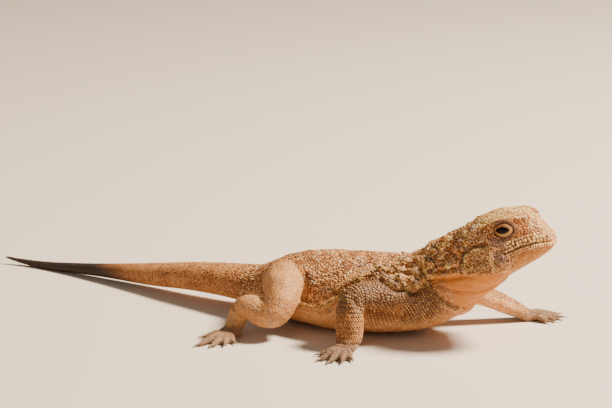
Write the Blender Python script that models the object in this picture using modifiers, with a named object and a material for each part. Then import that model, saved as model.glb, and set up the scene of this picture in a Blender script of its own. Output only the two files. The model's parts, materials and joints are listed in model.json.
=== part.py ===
"""A secret toad-headed agama at rest, life size, as separate body parts.

The lizard looks along +X, its left side is towards +Y and the floor is z = 0.
While it is being made its hips are at x = 0 and every size is in millimetres.
place_on_floor() moves the whole animal at the end, so that its origin is the
middle of its footprint, and scales nothing: MM turns a length into metres.
"""

import math
import random

import bmesh
import bpy
import numpy as np
from mathutils import Matrix, Vector
from mathutils.bvhtree import BVHTree

MM = 0.001
GAP = 0.3  # between two nodes that touch
VOXEL = 0.5  # of the flesh while it is one body
SMOOTHING = 5
SEED = 7

# Head, measured from the tip of the snout in the head's own frame: x forward, z up
SNOUT_TIP = Vector((88.8, 2.2, 34.5))
HEAD_PITCH = math.radians(17)
HEAD_YAW = math.radians(1.5)
# Distance behind the snout, half width, top, bottom
HEAD = (
    (0.0, 2.2, 1.4, -1.0),
    (0.4, 3.6, 2.7, -1.7),
    (1.2, 4.7, 3.2, -2.4),
    (2.2, 5.6, 4.6, -3.0),
    (3.6, 6.6, 7.7, -3.7),
    (5.6, 7.7, 10.2, -4.5),
    (9.0, 9.2, 11.8, -5.6),
    (13.5, 11.0, 12.6, -7.0),
    (19.0, 12.3, 12.2, -8.9),
    (23.5, 12.6, 10.7, -10.3),
    (27.0, 11.8, 9.1, -10.6),
    (29.5, 9.6, 6.8, -8.8),
    (30.8, 6.0, 4.0, -5.0),
)
HEAD_WIDEST = 0.6  # height of the widest line
HEAD_SQUARENESS = 2.5
EYE = Vector((-12.0, 6.6, 7.3))  # centre of the left eyeball
EYE_RADIUS = 3.1
EYE_OPENING = (2.1, 1.25)  # half length and half height between the lids
LID_BULGE = (4.1, 3.9, 3.6)
BROW = (
    (-4.6, 3.4, 8.5, 1.2, 1.0),
    (-7.0, 5.4, 9.6, 1.6, 1.1),
    (-11.0, 7.6, 10.0, 1.7, 1.2),
    (-15.0, 8.8, 9.6, 1.5, 1.1),
    (-18.8, 9.6, 8.0, 1.0, 0.8),
)
CHEEK = (Vector((-20.5, 8.2, -2.0)), (6.6, 4.6, 6.8))
# Line of the mouth: distance behind the snout, height
MOUTH = ((0.0, 0.2), (1.5, 0.8), (4.0, 1.3), (7.0, 1.3), (10.5, 0.9), (13.0, 0.3))
MOUTH_GROOVE = (0.28, 0.85)  # half height, half depth
NOSTRIL = Vector((-0.7, 2.3, 2.3))
NOSTRIL_RADIUS = 0.42
LIPS = ((0.95, 0.62), (-1.0, 0.58))  # height over the line of the mouth, radius
FLAP = (Vector((-14.3, 10.3, -1.2)), (3.1, 1.5, 3.2))  # the folded fringe at the corner of the mouth
FLAP_SPINES = 10

# Body line from behind the vent to inside the head: x, y, z of the widest line, half width, rise, drop
BODY = (
    (-16.0, 0.6, 8.6, 7.6, 5.2, 5.0),
    (-10.0, 0.2, 8.8, 8.6, 6.6, 6.2),
    (-4.0, 0.0, 8.8, 10.8, 9.2, 7.6),
    (3.0, 0.0, 9.0, 13.6, 11.8, 8.6),
    (12.0, 0.0, 9.4, 16.6, 13.0, 9.4),
    (22.0, 0.0, 9.7, 18.0, 13.3, 10.3),
    (32.0, 0.0, 10.2, 17.0, 13.6, 10.2),
    (40.0, 0.0, 11.2, 15.0, 13.0, 10.4),
    (47.0, 0.2, 13.4, 13.0, 12.4, 11.0),
    (53.0, 0.5, 16.6, 11.4, 12.0, 11.0),
    (59.0, 0.9, 21.0, 10.6, 12.2, 10.4),
    (65.0, 1.2, 24.6, 10.2, 11.8, 9.6),
    (70.0, 1.4, 27.6, 9.0, 9.4, 8.4),
)
BODY_SQUARENESS = 2.3
# Tail line from the vent to the tip: x, y, z, half width, half height
TAIL = (
    (-8.0, 0.2, 9.0, 8.8, 6.6),
    (-20.0, 1.8, 8.8, 7.2, 5.6),
    (-34.0, 4.2, 7.9, 6.0, 4.8),
    (-54.0, 8.0, 5.4, 4.5, 3.8),
    (-75.0, 11.6, 3.4, 2.9, 2.4),
    (-88.0, 13.6, 2.2, 2.1, 1.85),
    (-102.0, 15.2, 1.3, 1.5, 1.4),
    (-111.0, 15.6, 1.6, 1.0, 1.0),
    (-117.6, 15.0, 2.6, 0.5, 0.5),
)
# Skin fold along the flank, from the groin to the shoulder: x, half width outwards, z, radius
FLANK_FOLD = (
    (10.0, 16.3, 10.2, 0.9),
    (18.0, 17.9, 9.8, 1.2),
    (25.0, 17.7, 12.4, 1.3),
    (31.0, 16.6, 16.2, 1.4),
    (38.0, 13.8, 19.8, 1.5),
    (46.0, 11.6, 20.4, 1.4),
    (52.0, 10.9, 18.6, 1.1),
)
# Loose skin under the throat: centre, half length, half width, half height
THROAT_POUCH = (Vector((57.0, 0.8, 13.4)), (8.0, 8.6, 6.2))

# Limbs from the root to the wrist or heel: x, y, z, half width, half thickness
LIMBS = {
    "foreleg_right": {
        "upper": ((47, -6, 13.6, 6.8, 6.2), (41.5, -12.0, 14.8, 5.6, 5.2), (35.8, -18.2, 16.0, 4.4, 4.0),
                  (33.0, -21.6, 15.6, 4.2, 3.8)),
        "lower": ((32.6, -23.6, 12.4, 4.3, 3.7), (33.0, -25.2, 8.2, 4.4, 3.5), (33.5, -26.6, 4.2, 4.1, 2.8),
                  (33.5, -28.4, 2.3, 3.6, 2.0)),
        "side": (1, 0, 0),
        "foot": {"heading": -94, "palm": (33.4, -30.0), "hind": False, "mirror": 1},
        "names": ("upper_arm_right", "forearm_right", "hand_right"),
    },
    "foreleg_left": {
        "upper": ((44, 6, 12.2, 6.8, 6.2), (50.5, 11.6, 11.8, 5.2, 4.6), (57.0, 16.0, 10.2, 3.8, 3.4),
                  (61.2, 18.8, 8.8, 3.5, 3.2)),
        "lower": ((64.6, 21.2, 7.0, 3.3, 3.0), (68.0, 23.8, 4.8, 3.2, 2.7), (70.8, 26.0, 3.0, 3.1, 2.2),
                  (71.9, 27.2, 2.1, 3.1, 1.9)),
        "side": (-0.55, 0.83, 0),
        "foot": {"heading": 28, "palm": (72.8, 27.9), "hind": False, "mirror": -1},
        "names": ("upper_arm_left", "forearm_left", "hand_left"),
    },
    "hindleg_right": {
        "upper": ((1, -5, 12.6, 7.4, 7.0), (4.4, -12.0, 14.2, 6.8, 6.4), (7.4, -18.5, 14.4, 6.2, 6.0),
                  (8.8, -23.0, 12.2, 5.6, 5.4)),
        "lower": ((8.0, -26.0, 9.0, 4.8, 4.6), (4.0, -26.4, 8.4, 4.4, 4.2), (-0.6, -25.8, 9.8, 4.0, 4.0),
                  (-3.8, -25.4, 8.2, 3.5, 3.4), (-5.2, -26.2, 4.6, 3.1, 2.8), (-5.8, -27.4, 2.1, 3.1, 2.0)),
        "side": (0, 0.2, 1),
        "foot": {"heading": -98, "palm": (-6.0, -29.0), "hind": True, "mirror": 1},
        "names": ("thigh_right", "shank_right", "foot_right"),
    },
    "hindleg_left": {
        "upper": ((1, 5, 11.6, 7.2, 6.8), (5.4, 12.6, 11.8, 6.4, 6.0), (9.8, 19.6, 10.8, 5.7, 5.5),
                  (12.0, 24.0, 9.2, 5.2, 5.0)),
        "lower": ((11.4, 26.8, 7.2, 4.6, 4.4), (7.6, 27.8, 6.6, 4.2, 4.0), (3.4, 28.2, 7.0, 3.8, 3.7),
                  (0.4, 28.8, 5.6, 3.3, 3.1), (-0.2, 30.2, 2.2, 3.1, 2.0)),
        "side": (0, -0.2, 1),
        "foot": {"heading": 78, "palm": (0.0, 32.0), "hind": True, "mirror": -1},
        "names": ("thigh_left", "shank_left", "foot_left"),
    },
}
# Digits from the inner to the outer: turn from the foot's heading in degrees, length
FINGERS = ((46, 4.4), (24, 6.0), (3, 7.2), (-18, 7.0), (-44, 4.8))
TOES = ((50, 3.8), (28, 5.6), (8, 7.8), (-12, 9.6), (-46, 4.8))
DIGIT_RADIUS = (1.2, 0.7)  # at the root and at the tip
CLAW = (2.6, 0.42)  # length, radius at its root
FRINGE_SPINE = (1.35, 0.42)  # length, radius at its root
FRINGE_PITCH = 1.9

LIMB_CUTTER = 1.3  # how far outside a limb its cutter runs
CUTTER_VOXEL = 0.7
CUTTER_TRIANGLES = 200
# Where the flesh is parted: a point and the direction the further part lies in
CUTS = {
    "head": ((63.6, 1.5, 26.6), (0.956, 0.02, 0.292)),
    "neck": ((50.0, 0.4, 15.0), (0.86, 0.05, 0.5)),
    "tail_base": ((-13.0, 0.6, 8.5), (-0.985, 0.1, -0.1)),
    "tail_middle": ((-44.0, 4.9, 5.2), (-0.985, 0.15, -0.08)),
    "tail_tip": ((-80.0, 10.4, 2.0), (-0.985, 0.15, 0.0)),
}
HEAD_TRIANGLES = 1900
BODY_TRIANGLES = 3500
NECK_SPINES = 18  # a side, on the back of the head, the neck and the shoulder
FOLD_SPINES = 9  # a side, along the fold over the shoulder
SPINE_RADIUS = 0.5
SPINE_CLEARANCE = 0.85  # between the axis of a spine and any node but its own
SAND, CREAM, DARK = (0.62, 0.36, 0.19), (0.82, 0.6, 0.4), (0.02, 0.012, 0.01)


def clear_scene():
    for thing in list(bpy.data.objects):
        bpy.data.objects.remove(thing)


def new_collection(name):
    group = bpy.data.collections.new(name)
    bpy.context.scene.collection.children.link(group)
    return group


def new_object(name, mesh, group):
    thing = bpy.data.objects.new(name, mesh)
    group.objects.link(thing)
    return thing


def finish_mesh(name, work):
    """Turns a bmesh into a mesh with its faces out and its quads split."""
    bmesh.ops.recalc_face_normals(work, faces=work.faces)
    bmesh.ops.triangulate(work, faces=work.faces)
    mesh = bpy.data.meshes.new(name)
    work.to_mesh(mesh)
    work.free()
    return mesh


def settle(thing):
    """Applies the modifiers of an object."""
    bpy.context.view_layer.update()
    graph = bpy.context.evaluated_depsgraph_get()
    old = thing.data
    thing.data = bpy.data.meshes.new_from_object(thing.evaluated_get(graph))
    thing.modifiers.clear()
    bpy.data.meshes.remove(old)


def smooth_rows(rows, step):
    """Reads a table of places and sizes every step millimetres along the smooth curve through it."""
    rows = np.array(rows, float)
    reach = np.concatenate(([0.0], np.cumsum(np.linalg.norm(np.diff(rows[:, :3], axis=0), axis=1))))
    slope = np.gradient(rows, reach, axis=0)
    at = np.linspace(0, reach[-1], max(3, round(reach[-1] / step) + 1))
    k = np.clip(np.searchsorted(reach, at, side="right") - 1, 0, len(rows) - 2)
    span = (reach[k + 1] - reach[k])[:, None]
    t = (at - reach[k])[:, None] / span
    return (
        (2 * t**3 - 3 * t**2 + 1) * rows[k]
        + (t**3 - 2 * t**2 + t) * span * slope[k]
        + (3 * t**2 - 2 * t**3) * rows[k + 1]
        + (t**3 - t**2) * span * slope[k + 1]
    )


def outline(half_width, rise, drop, squareness, count):
    """One section as pairs (across, up) round a superellipse."""
    turn = np.arange(count) * 2 * np.pi / count
    across = half_width * np.sign(np.cos(turn)) * np.abs(np.cos(turn)) ** (2 / squareness)
    height = np.sign(np.sin(turn)) * np.abs(np.sin(turn)) ** (2 / squareness)
    return np.stack([across, np.where(height > 0, height * rise, height * drop)], 1)


def loft(name, rings, group):
    """A closed skin over a row of rings."""
    work = bmesh.new()
    loops = [[work.verts.new(Vector(point) * MM) for point in ring] for ring in rings]
    for near, far in zip(loops, loops[1:]):
        for i, corner in enumerate(near):
            j = (i + 1) % len(near)
            work.faces.new((corner, near[j], far[j], far[i]))
    work.faces.new(loops[0])
    work.faces.new(loops[-1])
    return new_object(name, finish_mesh(name, work), group)


def tube(name, rows, group, side=(0, 1, 0), step=1.5, count=20, squareness=2.0, grow=0.0):
    """A bent body through rows of x, y, z, half width, rise and, if given, drop. side is across it."""
    rows = [tuple(row) if len(row) == 6 else tuple(row) + (row[4],) for row in rows]
    rows = smooth_rows(rows, step)
    ahead = np.gradient(rows[:, :3], axis=0)
    rings = []
    for row, direction in zip(rows, ahead):
        forward = Vector(direction).normalized()
        across = Vector(side)
        across = (across - across.dot(forward) * forward).normalized()
        up = forward.cross(across)
        if up.z < 0 and abs(across.z) < 0.5:
            up = -up
        flat = outline(row[3] + grow, row[4] + grow, row[5] + grow, squareness, count)
        rings.append([Vector(row[:3]) + across * a + up * b for a, b in flat])
    return loft(name, rings, group)


def ball(name, centre, half_sizes, group, turn=None, detail=20):
    """An ellipsoid, turned by a 3x3 matrix."""
    work = bmesh.new()
    bmesh.ops.create_uvsphere(work, u_segments=detail, v_segments=detail // 2 + 1, radius=1)
    sizes = Matrix.Diagonal((*half_sizes, 1))
    place = Matrix.Translation(Vector(centre)) @ (turn.to_4x4() if turn else Matrix.Identity(4)) @ sizes
    bmesh.ops.transform(work, matrix=Matrix.Scale(MM, 4) @ place, verts=work.verts)
    return new_object(name, finish_mesh(name, work), group)


def cone(name, root, tip, radius, tip_radius, group, sides=4):
    """A spine from root to tip."""
    along = Vector(tip) - Vector(root)
    work = bmesh.new()
    bmesh.ops.create_cone(
        work, cap_ends=True, segments=sides, radius1=radius, radius2=tip_radius, depth=along.length
    )
    turn = along.to_track_quat("Z", "X").to_matrix().to_4x4()
    place = Matrix.Translation(Vector(root) + along / 2) @ turn
    bmesh.ops.transform(work, matrix=Matrix.Scale(MM, 4) @ place, verts=work.verts)
    return new_object(name, finish_mesh(name, work), group)


def block(name, start, direction, size, group, back=0.0):
    """A box that begins at a plane and runs along direction. size is length, width, height."""
    forward = Vector(direction).normalized()
    across = Vector((0, 0, 1)).cross(forward).normalized()
    up = forward.cross(across)
    work = bmesh.new()
    bmesh.ops.create_cube(work, size=1)
    turn = Matrix((forward, across, up)).transposed().to_4x4()
    middle = Vector(start) + forward * (size[0] / 2 - back)
    place = Matrix.Translation(middle) @ turn @ Matrix.Diagonal((*size, 1))
    bmesh.ops.transform(work, matrix=Matrix.Scale(MM, 4) @ place, verts=work.verts)
    return new_object(name, finish_mesh(name, work), group)


def keep_largest(thing):
    """Drops every closed surface of a mesh but the one with the most room in it."""
    work = bmesh.new()
    work.from_mesh(thing.data)
    left = set(work.verts)
    pieces = []
    while left:
        piece = set()
        reach = [next(iter(left))]
        while reach:
            vertex = reach.pop()
            if vertex in piece:
                continue
            piece.add(vertex)
            reach.extend(edge.other_vert(vertex) for edge in vertex.link_edges)
        left -= piece
        low = Vector(min(v.co[i] for v in piece) for i in range(3))
        high = Vector(max(v.co[i] for v in piece) for i in range(3))
        pieces.append(((high - low).length, len(pieces), piece))
    keep = max(pieces)[2] if pieces else set()
    bmesh.ops.delete(work, geom=[v for v in work.verts if v not in keep], context="VERTS")
    work.to_mesh(thing.data)
    work.free()


def boolean(thing, other, operation, solver="EXACT"):
    """Cuts, keeps or joins with one closed object or a collection of them, and applies it."""
    modifier = thing.modifiers.new(operation.lower(), "BOOLEAN")
    modifier.operation = operation
    modifier.solver = solver
    if isinstance(other, bpy.types.Collection):
        modifier.operand_type = "COLLECTION"
        modifier.collection = other
    else:
        modifier.object = other
    settle(thing)
    keep_largest(thing)


def fuse(thing, pieces, group):
    """One union of a node with all the small pieces that grow from it.

    MANIFOLD, because EXACT leaves open edges where many thin pieces cross.
    """
    joined = bpy.data.collections.new("fused")
    group.children.link(joined)
    for piece in pieces:
        joined.objects.link(piece)
    boolean(thing, joined, "UNION", "MANIFOLD")
    for piece in pieces:
        bpy.data.objects.remove(piece)
    bpy.data.collections.remove(joined)


def one_body(thing, voxel, smoothing):
    """Melts shapes that run through each other into one closed body, and smooths it."""
    remesh = thing.modifiers.new("one_body", "REMESH")
    remesh.mode = "VOXEL"
    remesh.voxel_size = voxel * MM
    smooth = thing.modifiers.new("smooth", "SMOOTH")
    smooth.factor = 0.5
    smooth.iterations = smoothing
    settle(thing)
    keep_largest(thing)


def thin_out(thing, triangles, chosen=None):
    """Decimates a mesh, or its chosen corners only, until so many triangles are left there."""
    mesh = thing.data
    picked = {v.index for v in mesh.vertices if chosen is None or chosen(v.co / MM)}
    weights = thing.vertex_groups.new(name="thin")
    weights.add(sorted(picked), 1.0, "REPLACE")
    inside = sum(len(f.vertices) - 2 for f in mesh.polygons if picked.issuperset(f.vertices))
    count = sum(len(f.vertices) - 2 for f in mesh.polygons)
    modifier = thing.modifiers.new("thin", "DECIMATE")
    modifier.ratio = min(1.0, (count - inside + triangles) / count)
    modifier.use_collapse_triangulate = True
    if chosen:
        modifier.vertex_group = weights.name
    settle(thing)
    thing.vertex_groups.clear()


def head_turn():
    return Matrix.Rotation(HEAD_YAW, 3, "Z") @ Matrix.Rotation(-HEAD_PITCH, 3, "Y")


def head_point(point):
    """Takes a point from the head's frame to the body's."""
    return SNOUT_TIP + head_turn() @ Vector(point)


def mirrored(point, side):
    return Vector((point[0], point[1] * side, point[2]))


def head_half_width(behind, height):
    """How far out the skin of the head is, at a distance behind the snout and a height."""
    table = np.array(HEAD)
    width, top, bottom = (np.interp(behind, table[:, 0], table[:, i]) for i in (1, 2, 3))
    rise = (height - HEAD_WIDEST) / ((top if height > HEAD_WIDEST else bottom) - HEAD_WIDEST)
    return float(width * max(0.0, 1 - abs(rise) ** HEAD_SQUARENESS) ** (1 / HEAD_SQUARENESS))


def mouth_path(above, front, steps=12):
    """The line of the mouth in the head's frame, from the left corner round the snout to the right."""
    behind, height = zip(*MOUTH)
    half = []
    for distance in np.linspace(behind[-1], front, steps):
        z = float(np.interp(distance, behind, height)) + above
        half.append(Vector((-distance, head_half_width(distance, z), z)))
    return half + [mirrored(point, -1) for point in reversed(half)]


def make_head(group):
    rows = smooth_rows([(-b, 0, 0, w, t, d) for b, w, t, d in HEAD], 0.7)
    rings = []
    for row in rows:
        flat = outline(row[3], row[4] - HEAD_WIDEST, HEAD_WIDEST - row[5], HEAD_SQUARENESS, 44)
        rings.append([head_point((row[0], across, HEAD_WIDEST + up)) for across, up in flat])
    pieces = [loft("head_core", rings, group)]
    for side in (1, -1):
        eye = head_point(mirrored(EYE, side))
        pieces.append(ball("lids", eye, LID_BULGE, group, head_turn()))
        brow = [(*head_point(mirrored(row[:3], side)), *row[3:]) for row in BROW]
        pieces.append(tube("brow", brow, group, step=1, count=14))
        pieces.append(ball("cheek", head_point(mirrored(CHEEK[0], side)), CHEEK[1], group, head_turn()))
        pieces.append(ball("flap", head_point(mirrored(FLAP[0], side)), FLAP[1], group, head_turn()))
    upright = head_turn() @ Vector((0, 0, 1))
    for above, radius in LIPS:
        lip = [(*head_point(point), radius, radius * 0.8) for point in mouth_path(above, 0.9)]
        pieces.append(tube("lip", lip, group, side=upright, step=1, count=10))
    return pieces


def make_flesh(group):
    """The whole animal but its eyes and digits, as one smooth body."""
    pieces = make_head(group)
    pieces.append(tube("trunk", BODY, group, count=44, squareness=BODY_SQUARENESS))
    pieces.append(tube("tail", TAIL, group, count=28, squareness=2.1))
    pieces.append(ball("throat", THROAT_POUCH[0], THROAT_POUCH[1], group))
    for side in (1, -1):
        fold = [(x, y * side, z, radius, radius) for x, y, z, radius in FLANK_FOLD]
        pieces.append(tube("fold", fold, group, side=(0, 0, 1), count=12))
    for limb in LIMBS.values():
        rows = limb["upper"] + limb["lower"]
        pieces.append(tube("limb", rows, group, side=limb["side"], count=24))
        pieces.append(make_palm(limb, group))
    flesh = pieces[0]
    flesh.name = "flesh"
    with bpy.context.temp_override(active_object=flesh, selected_editable_objects=pieces):
        bpy.ops.object.join()
    one_body(flesh, VOXEL, SMOOTHING)
    thin_out(flesh, BODY_TRIANGLES, lambda place: not in_head(place))
    thin_out(flesh, HEAD_TRIANGLES, in_head)
    thin_out(flesh, BODY_TRIANGLES + HEAD_TRIANGLES)
    return flesh


def in_head(place):
    return place.x > 60 and place.z > 12 and abs(place.y) < 16


def make_palm(limb, group):
    """The pad that the digits grow from, from the wrist or heel forward."""
    foot = limb["foot"]
    heel = Vector(limb["lower"][-1][:3])
    centre = Vector((*foot["palm"], 1.6))
    heading = math.radians(foot["heading"])
    forward = Vector((math.cos(heading), math.sin(heading), 0))
    reach = 2.2 if foot["hind"] else 1.4
    wide = 3.2
    rows = [
        (*(heel - forward * 0.6), wide * 0.9, 2.3),
        (*centre, wide, 1.9),
        (*(centre + forward * reach), wide * 0.95, 1.7),
    ]
    return tube("palm", rows, group, side=(-forward.y, forward.x, 0), step=0.8, count=20, squareness=2.4)


def digit_pieces(limb, group):
    """Digits with a claw each and a fringe of pointed scales along both sides."""
    foot = limb["foot"]
    reach = 2.2 if foot["hind"] else 1.4
    root_ring = 2.4
    pieces = []
    for turn, length in TOES if foot["hind"] else FINGERS:
        heading = math.radians(foot["heading"] + turn * foot["mirror"])
        middle = math.radians(foot["heading"])
        forward = Vector((math.cos(heading), math.sin(heading), 0))
        across = Vector((-forward.y, forward.x, 0))
        palm = Vector((*foot["palm"], 0)) + Vector((math.cos(middle), math.sin(middle), 0)) * (reach - 1)
        root = palm + forward * root_ring * 0.4
        wide, narrow = DIGIT_RADIUS
        rows = (
            (*(root + Vector((0, 0, 1.5))), wide, 1.1),
            (*(root + forward * (2.0 + length * 0.25) + Vector((0, 0, 1.7))), wide, 1.15),
            (*(root + forward * (2.0 + length * 0.65) + Vector((0, 0, 1.15))), (wide + narrow) / 2, 1.0),
            (*(root + forward * (2.0 + length) + Vector((0, 0, 0.75))), narrow, 0.7),
        )
        pieces.append(tube("digit", rows, group, side=across, step=2.6, count=6))
        tip = root + forward * (1.4 + length) + Vector((0, 0, 0.8))
        bend = tip + forward * CLAW[0] * 0.6 + Vector((0, 0, 0.15))
        point = tip + forward * CLAW[0] + Vector((0, 0, -0.35))
        claw = [(*tip, CLAW[1], CLAW[1]), (*bend, CLAW[1] * 0.75, CLAW[1] * 0.75), (*point, 0.12, 0.12)]
        pieces.append(tube("claw", claw, group, side=across, step=1.4, count=5))
        spines = max(2, int((length - 1.0) / FRINGE_PITCH))
        for i in range(spines):
            along = 2.0 + length * 0.12 + i * FRINGE_PITCH
            width = np.interp(along, (2.0, 2.0 + length), (wide, narrow))
            for side in (1, -1):
                base = root + forward * along + across * side * (width - 0.55) + Vector((0, 0, 0.85))
                size = FRINGE_SPINE[0] * (1.0 - 0.25 * i / spines)
                end = base + (across * side + forward * 0.35).normalized() * (size + 0.55)
                pieces.append(cone("spine", base, end, FRINGE_SPINE[1], 0.0, group))
    return pieces


def carve_head(flesh, group):
    """Eye sockets, the opening between the lids, the line of the mouth and the nostrils."""
    cutters = []
    for side in (1, -1):
        eye = head_point(mirrored(EYE, side))
        out = head_turn() @ Vector((0.12, side, 0.1)).normalized()
        opening = [
            (*(eye + out * reach), EYE_OPENING[0] * grow, EYE_OPENING[1] * grow)
            for reach, grow in ((1.5, 0.9), (3.5, 1.0), (6.0, 1.25))
        ]
        ahead = head_turn() @ Vector((1, 0, 0))
        cutters.append(tube("opening", opening, group, side=ahead, count=16))
        cutters.append(ball("socket", eye, [EYE_RADIUS + GAP] * 3, group, detail=16))
        nostril = head_point(mirrored(NOSTRIL, side))
        inwards = head_turn() @ Vector((-0.75, -side * 0.55, -0.1)).normalized()
        mouth, end = nostril - inwards * 2.5, nostril + inwards * 1.4
        cutters.append(cone("nostril", mouth, end, NOSTRIL_RADIUS * 1.5, NOSTRIL_RADIUS * 0.7, group, 8))
    upright = head_turn() @ Vector((0, 0, 1))
    groove = [(*head_point(point), *MOUTH_GROOVE) for point in mouth_path(0, 0.15)]
    cutters.append(tube("mouth", groove, group, side=upright, step=1.8, count=6))
    for cutter in cutters:
        boolean(flesh, cutter, "DIFFERENCE", "MANIFOLD")
        bpy.data.objects.remove(cutter)


def part_off(flesh, name, near, wide, parts):
    """Moves what lies inside the near cutter to its own node, and clears the wide one from the rest."""
    piece = new_object(name, flesh.data.copy(), parts)
    boolean(piece, near, "INTERSECT", "MANIFOLD")
    boolean(flesh, wide, "DIFFERENCE", "MANIFOLD")
    bpy.data.objects.remove(near)
    bpy.data.objects.remove(wide)
    return piece


def part_by_plane(flesh, name, place, direction, size, parts, cutters):
    near = block("near", place, direction, size, cutters)
    grown = (size[0] + GAP, size[1] + 2 * GAP, size[2] + 2 * GAP)
    wide = block("wide", place, direction, grown, cutters, back=GAP)
    return part_off(flesh, name, near, wide, parts)


def part_by_tube(flesh, name, rows, side, parts, cutters):
    """Takes a length of a limb with a tube a little wider than the limb, from the first row on."""
    near = tube("near", rows, cutters, side=side, step=2, grow=LIMB_CUTTER)
    one_body(near, CUTTER_VOXEL, 2)
    thin_out(near, CUTTER_TRIANGLES)
    wide = new_object("wide", near.data.copy(), cutters)
    for vertex in wide.data.vertices:
        vertex.co += near.data.vertices[vertex.index].normal * GAP * 1.1 * MM
    return part_off(flesh, name, near, wide, parts)


def part_flesh(flesh, parts, cutters):
    """Divides the body where a person would name its parts."""
    nodes = {}
    for limb in LIMBS.values():
        upper_name, lower_name, end_name = limb["names"]
        upper, lower = limb["upper"], limb["lower"]
        heel, wrist = Vector(lower[-2][:3]), Vector(lower[-1][:3])
        middle = heel.lerp(wrist, 0.5)
        room = (24, 20, 20)
        nodes[end_name] = part_by_plane(flesh, end_name, middle, wrist - heel, room, parts, cutters)
        beyond = wrist + (wrist - heel).normalized() * 2
        rows = list(lower[:-1]) + [(*beyond, *lower[-1][3:])]
        nodes[lower_name] = part_by_tube(flesh, lower_name, rows, limb["side"], parts, cutters)
        bend = Vector(upper[-1][:3])
        beyond = bend + (bend - Vector(upper[-2][:3])).normalized() * 6
        rows = list(upper[1:-1]) + [(*beyond, *upper[-1][3:])]
        nodes[upper_name] = part_by_tube(flesh, upper_name, rows, limb["side"], parts, cutters)
    for name in ("tail_tip", "tail_middle", "tail_base", "head", "neck"):
        place, direction = CUTS[name]
        nodes[name] = part_by_plane(flesh, name, place, direction, (60, 60, 60), parts, cutters)
    torso = new_object("torso", flesh.data, parts)
    bpy.data.objects.remove(flesh)
    nodes["torso"] = torso
    return nodes


def set_material(thing, colour, roughness):
    material = bpy.data.materials.new(thing.name)
    material.use_nodes = True
    shader = material.node_tree.nodes["Principled BSDF"]
    shader.inputs["Base Color"].default_value = (*colour, 1)
    shader.inputs["Roughness"].default_value = roughness
    shader.inputs["Metallic"].default_value = 0.0
    thing.data.materials.clear()
    thing.data.materials.append(material)


def make_eyes(parts):
    for side, name in ((1, "eye_left"), (-1, "eye_right")):
        eye = ball(name, head_point(mirrored(EYE, side)), [EYE_RADIUS] * 3, parts, detail=16)
        set_material(eye, DARK, 0.08)


def on_skin(tree, outside, inwards):
    """Where a line from outside meets the skin, and the direction the skin faces there."""
    place, normal, _, _ = tree.ray_cast(outside * MM, inwards)
    return (None, None) if place is None else (place / MM, normal)


def neck_spines(tree):
    """Pointed scales on the back of the head, the neck and the shoulder, as (root, skin, tip)."""
    rng = random.Random(SEED)
    line = np.array(BODY)
    spines = []
    for side in (1, -1):
        for i in range(NECK_SPINES):
            share = (i + rng.uniform(-0.3, 0.3)) / NECK_SPINES
            x = 66 - 27 * share
            axis = Vector((x, 0.8, float(np.interp(x, line[:, 0], line[:, 2]))))
            lift = math.radians(rng.uniform(8, 52))
            out = Vector((0, side * math.cos(lift), math.sin(lift)))
            place, normal = on_skin(tree, axis + out * 30, -out)
            if place:
                lean = (normal + Vector((-0.75, 0, 0.1))).normalized()
                spines.append((place - lean * 0.7, place, place + lean * rng.uniform(1.0, 1.6)))
    return spines


def fold_spines(tree):
    """The crest of pointed scales on the fold of skin over each shoulder."""
    rng = random.Random(SEED + 1)
    rows = np.array(FLANK_FOLD)
    spines = []
    for side in (1, -1):
        for i in range(FOLD_SPINES):
            x = 24 + 26 * (i + rng.uniform(-0.2, 0.2)) / (FOLD_SPINES - 1)
            width, height = (float(np.interp(x, rows[:, 0], rows[:, j])) for j in (1, 2))
            out = Vector((0, side, 0.35)).normalized()
            place, _ = on_skin(tree, Vector((x, side * width, height)) + out * 8, -out)
            if place:
                lean = (out + Vector((-0.5, 0, 0.1))).normalized()
                spines.append((place - lean * 0.8, place, place + lean * rng.uniform(0.8, 1.3)))
    return spines


def flap_spines(tree):
    """The fringe along the rear and lower edge of each flap at the corner of the mouth."""
    centre, sizes = FLAP
    spines = []
    for side in (1, -1):
        for i in range(FLAP_SPINES):
            angle = math.radians(110 + 175 * i / (FLAP_SPINES - 1))
            back, up = math.cos(angle), math.sin(angle)
            edge = Vector((back * sizes[0] * 0.82, sizes[1] * 0.3, up * sizes[2] * 0.82))
            way = head_turn() @ Vector((back, side * 0.75, up)).normalized()
            place, _ = on_skin(tree, head_point(mirrored(centre + edge, side)) + way * 6, -way)
            if place:
                spines.append((place - way * 0.8, place, place + way * 1.5))
    return spines


def grow_spines(nodes, spines, group):
    """Fuses each spine with the node it stands on, and leaves out one that comes near another node."""
    trees = {}
    for name, thing in nodes.items():
        corners = [v.co / MM for v in thing.data.vertices]
        trees[name] = BVHTree.FromPolygons(corners, [p.vertices for p in thing.data.polygons])
    grown = {}
    for root, place, tip in spines:
        owner = min(trees, key=lambda name: trees[name].find_nearest(place)[3])
        others = (tree for name, tree in trees.items() if name != owner)
        if all(tree.find_nearest(p)[3] > SPINE_CLEARANCE for tree in others for p in (root, place, tip)):
            grown.setdefault(owner, []).append(cone("spine", root, tip, SPINE_RADIUS, 0.0, group))
    for name, pieces in grown.items():
        fuse(nodes[name], pieces, group)
        print(name, len(pieces), "spines")


def place_on_floor(parts):
    """Takes away what is under the floor and moves the origin to the middle of the footprint."""
    low = Vector((1e9, 1e9))
    high = Vector((-1e9, -1e9))
    for thing in parts.objects:
        for vertex in thing.data.vertices:
            for i in range(2):
                low[i] = min(low[i], vertex.co[i])
                high[i] = max(high[i], vertex.co[i])
    middle = (low + high) / 2
    for thing in parts.objects:
        thing.data.transform(Matrix.Translation((-middle.x, -middle.y, 0)))
        thing.data.shade_smooth()
        thing.data.set_sharp_from_angle(angle=math.radians(50))


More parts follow.
